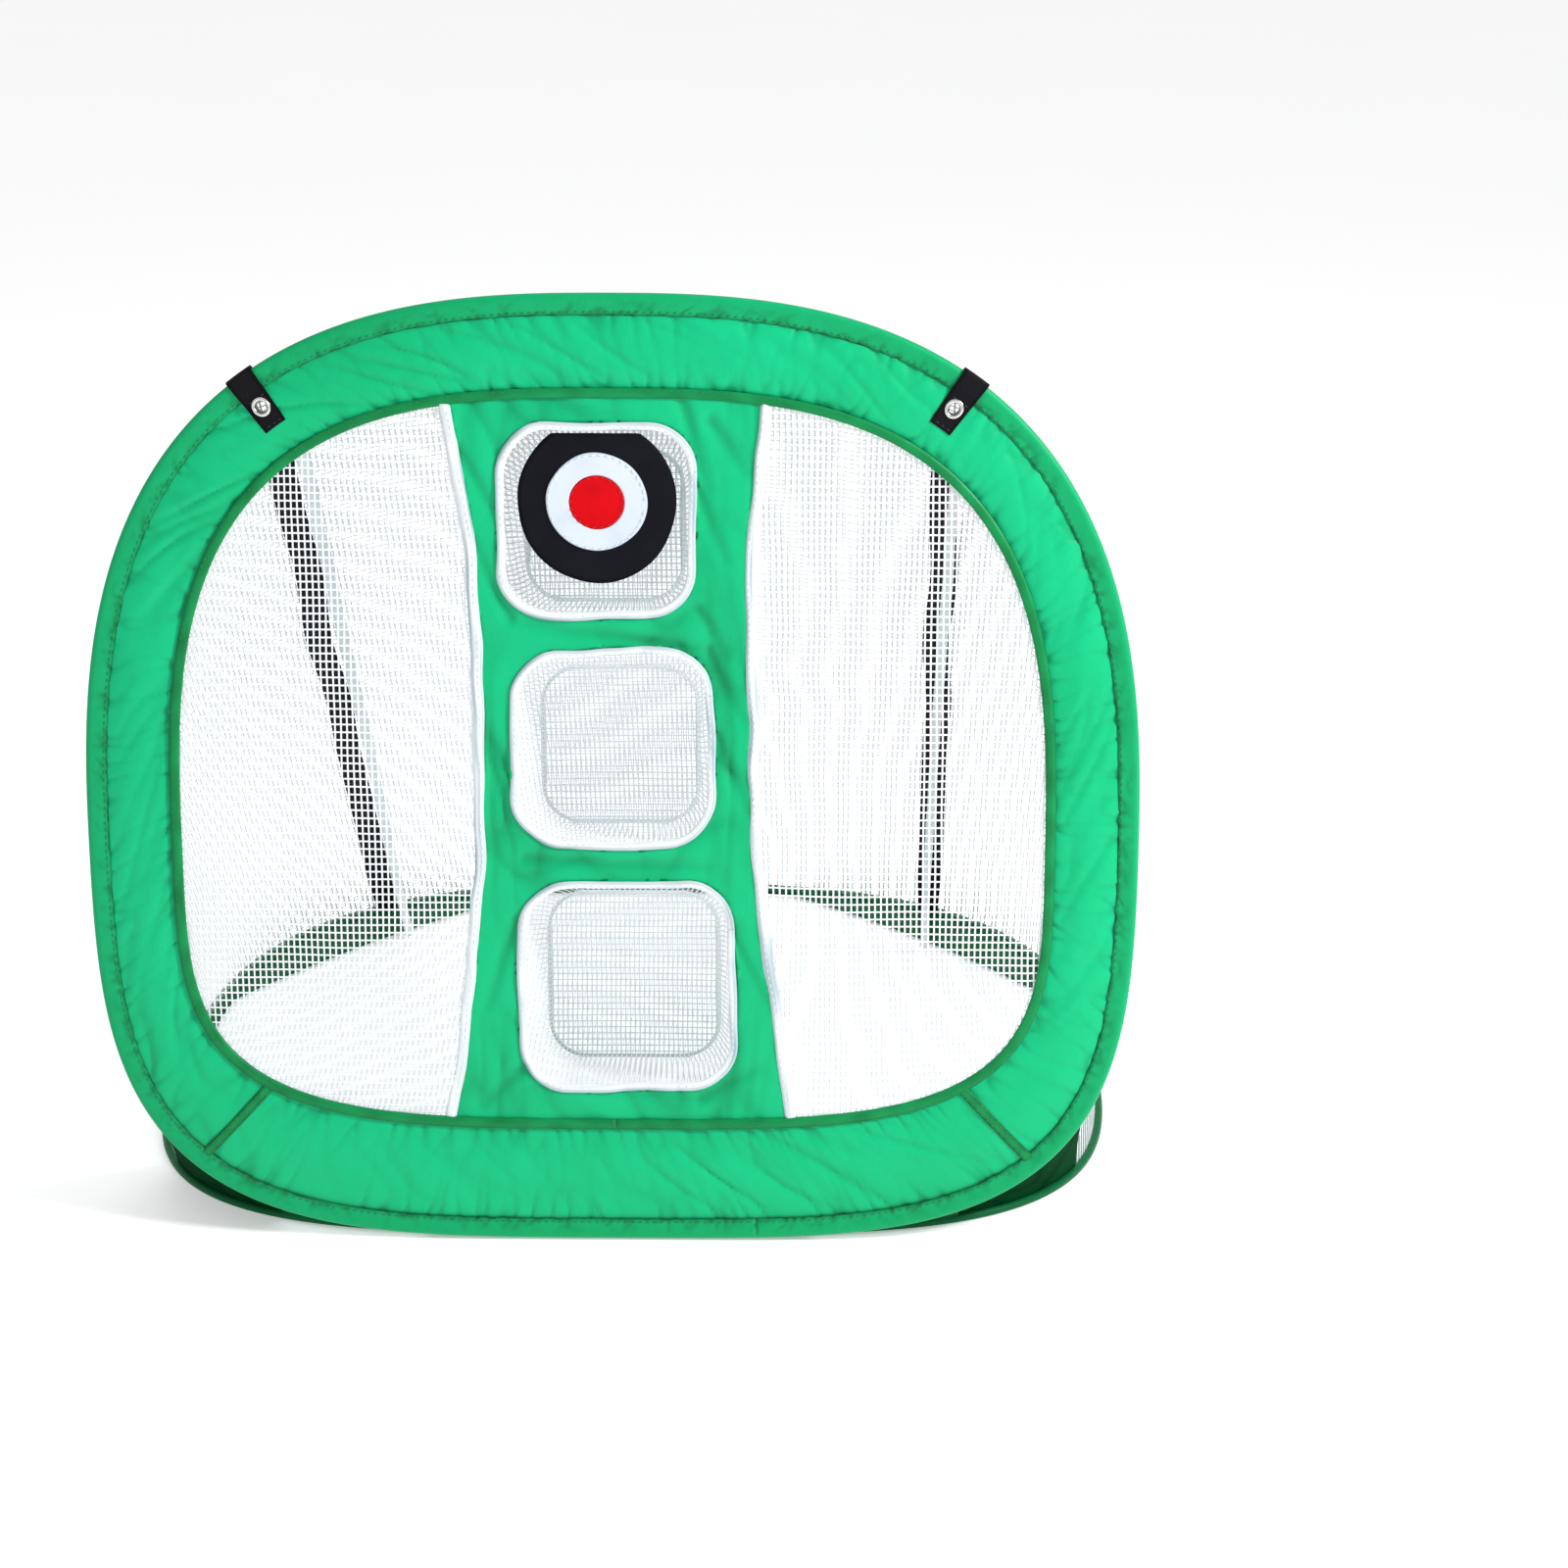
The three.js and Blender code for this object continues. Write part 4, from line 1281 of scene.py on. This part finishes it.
def makePocket(name, hole):
    loop = holeLoops[name]
    columns = round(loop.length / netLook["pitch"][0])
    rows = round(pocketLook["depth"] / netLook["pitch"][1])
    depth = pocketLook["depth"]

    def inBag(px, ps, share, seed):
        narrow = 1 - pocketLook["narrowing"] * share**2
        wobble = 0.002 * waves(px * 30, ps * 30, share * 3, seed) * np.sin(share * math.pi)
        x = hole["aside"] + (px - hole["aside"]) * narrow * (1 + 8 * wobble)
        s = hole["centre"] + (ps - hole["centre"]) * narrow - pocketLook["sag"] * share + wobble
        dx, ds = (a - b for a, b in zip(drift(px, ps), (px, ps)))
        lift = pocketLook["mouth"] - depth * share + wobble
        return standing(x + dx * (1 - share), s + ds * (1 - share), lift)

    def placeWall(x, w, _):
        px, ps = loop.at(x, 0.0035)
        return inBag(px, ps, w, 91.0)

    wall = flatGrid((0, 0), (1, 1), (columns, rows))
    bmesh.ops.scale(wall, vec=(loop.length, depth, 1), verts=wall.verts)
    openNet(wall, netLook["thread"])
    wallArea = sum(face.calc_area() for face in wall.faces)
    bmesh.ops.scale(wall, vec=(1 / loop.length, 1 / depth, 1), verts=wall.verts)
    bmesh.ops.reverse_faces(wall, faces=wall.faces)
    piece = placed("pocketNet" + name.capitalize(), wall, placeWall, "net", merge=True)

    half = (hole["width"] / 2, hole["height"] / 2)
    low = (hole["aside"] - half[0], hole["centre"] - half[1])
    high = (hole["aside"] + half[0], hole["centre"] + half[1])
    back, backArea = netGrid(low, high, lambda x, s: depthInHole(hole, x, s) > 0.002)

    def placeBack(px, ps, _):
        across = (px - hole["aside"]) / half[0]
        domed = 0.004 * np.cos(across * 1.4) * np.cos((ps - hole["centre"]) / half[1] * 1.4)
        return inBag(px, ps, 1 + domed / depth, 92.0)

    backPiece = placed("pocketBack", back, placeBack, "net")

    def placeRim(x, w, _):
        px, ps = loop.at(x, 0.0005 + 0.0035 * w)
        return inBag(px, ps, np.full(px.shape, 1.0) + 0.002 * (1 - w), 92.0)

    rim = flatGrid((0, 0), (1, 1), (columns, 1))
    rimPiece = placed("pocketRim", rim, placeRim, "net", merge=True)
    joined = joinInto(piece, backPiece, rimPiece)
    flatArea = loop.length * depth + hole["width"] * hole["height"]
    finished(joined, "white_mesh", "front", "pocket_net_" + name)
    anchor = tuple(float(c) for c in standing(hole["aside"], hole["centre"], pocketLook["mouth"]))
    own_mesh(joined)
    flat, tape = (loop.length, flatArea / loop.length), "hole_tape_" + name
    declareNet(flat, wallArea + backArea, [tape])


def joinInto(piece, *others):
    bm = bmesh.new()
    bm.from_mesh(piece.data)
    for other in others:
        bm.from_mesh(other.data)
    bm.to_mesh(piece.data)
    bm.free()
    for other in others:
        bpy.data.objects.remove(other)
    return piece


for name, hole in holeLooks.items():
    makePocket(name, hole)
print("pockets made")

# Straps and seam tapes across the fold

strapLook = {
    "width": webbingSize["width"],
    "thickness": webbingSize["thickness"],
    "ground": (0.014, 0.0032),
    "front": (0.031, -0.0047),
    "twist": 0.14,
    "sag": 0.003,
    "ripple": 0.004,
}
seamTapeLook = {
    "width": 0.012,
    "thickness": 0.0007,
    "ground": (0.078, 0.0020),
    "front": (0.038, -0.0022),
    "sag": 0.003,
    "ripple": 0.0010,
    # how far along the hoops from the strap's ends, anticlockwise, above and on the ground
    "right": (-0.017, -0.062),
    "left": (-0.017, 0.020),
}


def makeSeamTape(name, node, share, groundShift):
    look = seamTapeLook
    half = look["width"] / 2 / hoop.length
    stretch = Stretch(share - half, share + half, look["ground"], look["front"], groundShift)

    def place(along, up, _):
        length = stretch.lengthAt(along)
        point, extras = stretch.place(along, up / stretch.length * length, look["sag"], 96.0)
        point[:, 0] += look["ripple"] * waves(up * 18, along * 20, 0.0, 95.0)
        # painted grey shade in patches
        extras["crease"] = 0.3 * np.clip(waves(up * 30, along * 50, 0.0, 97.0), 0, 1)
        return point, extras

    bm = flatGrid((0, -stretch.length / 2), (stretch.width, stretch.length / 2), (6, 180))
    layUv(bm)
    tape = placed(name, bm, place, "tape")
    thickened(tape, look["thickness"])
    bendsWithFold(tape, "white_tape", node)


def makeStrap(name, node, share):
    # the webbing is sewn down along each hoop and turns its face to the front between them
    look = strapLook
    ground, front = onGround(share, *look["ground"]), onHoop(share, *look["front"])
    length = float(np.linalg.norm(front - ground))
    step = look["width"] / 2 / hoop.length
    groundWay = onGround(share + step, *look["ground"]) - onGround(share - step, *look["ground"])
    frontWay = onHoop(share + step, *look["front"]) - onHoop(share - step, *look["front"])
    level = np.array([-1.0, 0.0, 0.0])

    def place(x, up, _):
        t = up / length
        near = np.clip(np.minimum(t, 1 - t) / look["twist"], 0, 1)[:, None]
        ends = np.where(t[:, None] < 0.5, groundWay, frontWay) / look["width"]
        way = ends * (1 - near * near * (3 - 2 * near)) + level * near * near * (3 - 2 * near)
        way = way / np.linalg.norm(way, axis=1)[:, None]
        point = ground + (front - ground) * t[:, None] + way * x[:, None]
        point[:, 0] += look["ripple"] * waves(up * 9, x * 6, 0.0, 95.0) * np.sin(t * math.pi)
        point[:, 2] -= look["sag"] * np.sin(t * math.pi)
        angle = np.arctan2(point[:, 2] - hinge.z, point[:, 1] - hinge.y)
        edge = np.abs(x) > look["width"] * 0.4
        return point, {"foldShare": foldShareOf(angle), "crease": 0.4 * edge}

    bm = flatGrid((-look["width"] / 2, 0), (look["width"] / 2, length), (8, 180))
    layUv(bm)
    strap = placed(name, bm, place, "webbing")
    thickened(strap, look["thickness"])
    bendsWithFold(strap, "black_webbing", node)


def foldShareOf(angle):
    # 0 for what stays with the ground hoop, 1 for what turns with the standing one
    low, high = math.radians(0.8), math.radians(84.0)
    return np.clip((angle - low) / (high - low), 0, 1)


for side, word in sides:
    share = tabShare if side > 0 else 1 - tabShare
    makeStrap("strap" + word.capitalize(), "strap_" + word, share)
    above, below = seamTapeLook[word]
    name, shift = "netSeamTape" + word.capitalize(), (below - above) / hoop.length
    makeSeamTape(name, "net_seam_tape_" + word, share + above / hoop.length, shift)
print("straps made")

# Tabs folded over the hoop, with their eyelets

tabLook = {
    "front": 0.041,
    "back": 0.033,
    "thickness": 0.0012,
    "over": 0.0039,
    "onCloth": 0.0030,
    "stitched": (0.0185, 0.0385),
}


def makeTab(name, node, share):
    halfWidth = webbingSize["width"] / 2
    front, back, over = tabLook["front"], tabLook["back"], tabLook["over"]
    total = front + back + math.pi * over

    def place(x, walked, _):
        # walked runs from the back end over the hoop's edge to the front end
        inBend = (walked > back) & (walked < back + math.pi * over)
        turn = np.clip((walked - back) / over, 0, math.pi)
        onFront = walked - back - math.pi * over
        inset = np.where(inBend, -over * 0.45 * np.sin(turn), onFront)
        inset = np.where(walked <= back, back - walked, inset)
        sign = np.where(walked <= back, -1, np.where(inBend, -np.cos(turn), 1))
        drop = np.clip((inset - 0.009) / 0.009, 0, 1)
        lift = sign * (over + (tabLook["onCloth"] - over) * drop * drop * (3 - 2 * drop))
        lift = lift + 0.0004 * waves(walked * 60, x * 60, 0.0, 101.0)
        edge = np.abs(x) > halfWidth * 0.8
        return onHoop(share + x / hoop.length, inset, lift), {"crease": 0.5 * edge}

    bm = flatGrid((-halfWidth, 0), (halfWidth, total), (20, 76))
    eyelet = back + math.pi * over + webbingSize["eyeletInset"]
    backEyelet = back - webbingSize["eyeletInset"]
    eyelets, hole = (eyelet, backEyelet), 0.0046
    trimmed(bm, lambda x, y: min(math.hypot(x, y - middle) for middle in eyelets) > hole)
    layUv(bm)
    tab = placed(name, bm, place, "webbing")
    thickened(tab, tabLook["thickness"])
    finished(tab, "black_webbing", "front", node)
    for word, inset in (("Outer", tabLook["stitched"][0]), ("Inner", tabLook["stitched"][1])):

        def stitchLine(along, across, up):
            x = along - halfWidth * 0.85
            lift = tabLook["onCloth"] + tabLook["thickness"] / 2 + up
            return onHoop(share + x / hoop.length, inset + across, lift)

        row = name + word + "Stitches"
        makeStitches(row, halfWidth * 1.7, stitchLine, "blackThread", "black_webbing", "front")


def spunRing(name, profile, share, node):
    # turns a closed profile of (radius, lift) round the eyelet's middle
    bm = bmesh.new()
    corners = [bm.verts.new((radius, 0, lift)) for radius, lift in profile]
    edges = [bm.edges.new((a, b)) for a, b in zip(corners, corners[1:] + corners[:1])]
    around = {"axis": (0, 0, 1), "cent": (0, 0, 0), "angle": 2 * math.pi, "steps": 48}
    bmesh.ops.spin(bm, geom=corners + edges, use_merge=True, **around)
    bmesh.ops.remove_doubles(bm, verts=bm.verts, dist=0.00001)
    bmesh.ops.recalc_face_normals(bm, faces=bm.faces)

    def place(x, y, lift):
        # painted shade down the eyelet's bore
        bore = np.hypot(x, y) < 0.0045
        point = onHoop(share + x / hoop.length, webbingSize["eyeletInset"] + y, lift)
        return point, {"crease": 1.0 * bore}

    ring = placed(name, bm, place, "nickel")
    return finished(ring, "nickel", "front", node)


eyeletProfile = [
    (0.0041, -0.0042), (0.0050, -0.0042), (0.0050, 0.0034), (0.0070, 0.0036), (0.0071, 0.0041),
    (0.0066, 0.0047), (0.0058, 0.0050), (0.0049, 0.0048), (0.0043, 0.0042), (0.0041, 0.0032),
]
washerProfile = [
    (0.0048, -0.0036), (0.0070, -0.0036), (0.0071, -0.0041), (0.0062, -0.0047), (0.0048, -0.0045),
]
for side, word in sides:
    share = tabShare if side > 0 else 1 - tabShare
    makeTab("strapTab" + word.capitalize(), "strap_tab_" + word, share)
    spunRing("eyelet" + word.capitalize(), eyeletProfile, share, "eyelet_" + word)
    spunRing("eyeletWasher" + word.capitalize(), washerProfile, share, "eyelet_washer_" + word)
print("tabs made")

# Ground corners and the sewn joint between the hoops

gussetLook = {
    "start": (0.360, 0.400),
    "end": (0.105, 0.672),
    "bow": (0.024, 0.022),
    "inset": 0.008,
    "cloth": 0.0007,
}
foldSeamLook = {"half": 0.140, "tuck": 0.006, "dip": 0.0008, "cloth": 0.0006}


def makeGusset(name, node, side):
    start, end = hoop.near(*gussetLook["start"]), hoop.near(*gussetLook["end"])
    first, last = (np.array(hoop.at(share, gussetLook["inset"])) for share in (start, end))
    bow = (first + last) / 2 + gussetLook["bow"]
    length = (end - start) * hoop.length

    def place(x, w, _):
        u = x / length
        outerX, outerS = hoop.at(start + (end - start) * u, gussetLook["inset"])
        guide = zip(first, bow, last)
        innerX, innerS = ((1 - u) ** 2 * a + 2 * u * (1 - u) * b + u * u * c for a, b, c in guide)
        share = w / 0.05
        ripple = 0.0006 * waves(x * 30, share * 2, 0.0, 111.0 + side) * np.sin(share * math.pi)
        # painted shade in its creases
        crease = creases(x * 40 + share, share * 1.5, 112.0 + side) * 0.5
        px = outerX + (innerX - outerX) * share
        ps = outerS + (innerS - outerS) * share
        return lying(side * px, ps, 0.0004 + ripple), {"crease": crease}

    bm = flatGrid((0, 0), (length, 0.05), (130, 14))
    layUv(bm)
    if side < 0:
        bmesh.ops.reverse_faces(bm, faces=bm.faces)
    # painted shade: the darkened ground copy of the green stands for the shade the corner lies in
    gusset = placed(name, bm, place, "ground", merge=True)
    thickened(gusset, gussetLook["cloth"])
    finished(gusset, "green_seam", "base", node)


def makeFoldSeam():
    # a strip of cloth sewn to the underside of both sleeves where they touch, open as the net folds
    half, tuck = foldSeamLook["half"], foldSeamLook["tuck"]
    middle = hoop.near(0.0, 0.0)

    def place(x, w, _):
        front = onHoop(middle + x / hoop.length, 0.005, -0.0030)
        back = onGround(middle + x / hoop.length, 0.002, 0.0022)
        point = front + (back - front) * w[:, None]
        point[:, 2] -= foldSeamLook["dip"] * np.sin(w * math.pi)
        # painted shade in its creases
        return point, {"foldShare": 1 - w, "crease": creases(x * 120, w, 121.0)}

    bm = flatGrid((-half, 0), (half, 1), (140, 6))
    layUv(bm, 1.0, tuck)
    seam = placed("foldSeam", bm, place, "seam")
    thickened(seam, foldSeamLook["cloth"])
    bendsWithFold(seam, "green_seam", "fold_seam")


for side, word in sides:
    makeGusset("groundCorner" + word.capitalize(), "ground_corner_" + word, side)
makeFoldSeam()
print("ground corners made")

# Bullseye: three cloth discs that hang from a flat top edge

bullseyeLook = {
    "across": 0.054,
    "drop": 0.058,
    "flatTop": 0.048,
    "white": 0.0345,
    "red": 0.019,
    "wobble": 0.02,
    "thickness": 0.0008,
}
swingAt = Vector(joints["bullseye_swing"]["pos_m"])


def makeDisc(name, node, inner, outer, cutAt, lift, finish, slot, seed):
    # outer is how far the disc reaches sideways and down, and cutAt how far up before its flat top
    def place(turn, share, _):
        angle = turn * 2 * math.pi
        c, n = np.cos(angle), np.sin(angle)
        wobble = 1 + bullseyeLook["wobble"] * waves(c * 1.7, n * 1.7, 0.0, seed)
        far = wobble / np.sqrt((c / outer[0]) ** 2 + (n / outer[1]) ** 2)
        far = np.where(n > 0.05, np.minimum(far, cutAt / np.maximum(n, 0.05)), far)
        radius = inner + (far - inner) * share
        x, z = radius * c, radius * n
        curl = 0.0006 * waves(x * 30, z * 30, 0.0, seed + 1)
        crease = 0.5 * (share > 0.95) + 0.3 * np.clip(waves(x * 60, z * 60, 0.0, seed + 2), 0, 1)
        hung = stacked(swingAt.x + x, swingAt.y - lift - curl, swingAt.z - bullseyeLook["flatTop"] + z)
        return hung, {"crease": crease}

    bm = flatGrid((0, 0), (1, 1), (144, 16))
    lay = bm.loops.layers.uv.new("lay")
    for face in bm.faces:
        for corner in face.loops:
            turn, share = corner.vert.co.xy
            radius = inner + (outer[0] - inner) * share
            corner[lay].uv = (radius * math.cos(turn * 2 * math.pi), radius * math.sin(turn * 2 * math.pi))
    bmesh.ops.reverse_faces(bm, faces=bm.faces)
    disc = placed(name, bm, place, finish, merge=True)
    thickened(disc, bullseyeLook["thickness"])
    return finished(disc, slot, "bullseye", node)


uncut = 1.0  # a cut that far up leaves a disc round
white, red = bullseyeLook["white"], bullseyeLook["red"]
whole, flatTop = (bullseyeLook["across"], bullseyeLook["drop"]), bullseyeLook["flatTop"]
makeDisc("bullseyeBacking", "bullseye_backing", 0.0, whole, flatTop, 0.0, "blackFelt", "black_cloth", 131.0)
ring, centre = (white, white), (red, red)
makeDisc("bullseyeRing", "bullseye_white_ring", red, ring, uncut, 0.0010, "whiteFelt", "white_cloth", 134.0)
makeDisc("bullseyeCentre", "bullseye_red_centre", 0.0, centre, uncut, 0.0011, "redFelt", "red_cloth", 137.0)
for word, thread, radius in (("Ring", "white", white - 0.0014), ("Centre", "red", red - 0.0014)):

    def stitchLine(along, across, up):
        turn = along / radius
        x, z = (radius + across) * np.cos(turn), (radius + across) * np.sin(turn)
        return stacked(swingAt.x + x, swingAt.y - 0.0018 - up, swingAt.z - flatTop + z)

    name, slot = "bullseye" + word + "Stitches", thread + "_cloth"
    makeStitches(name, 2 * math.pi * radius, stitchLine, thread + "Thread", slot, "bullseye")
print("bullseye made")

makeStudio()
print("net finished")
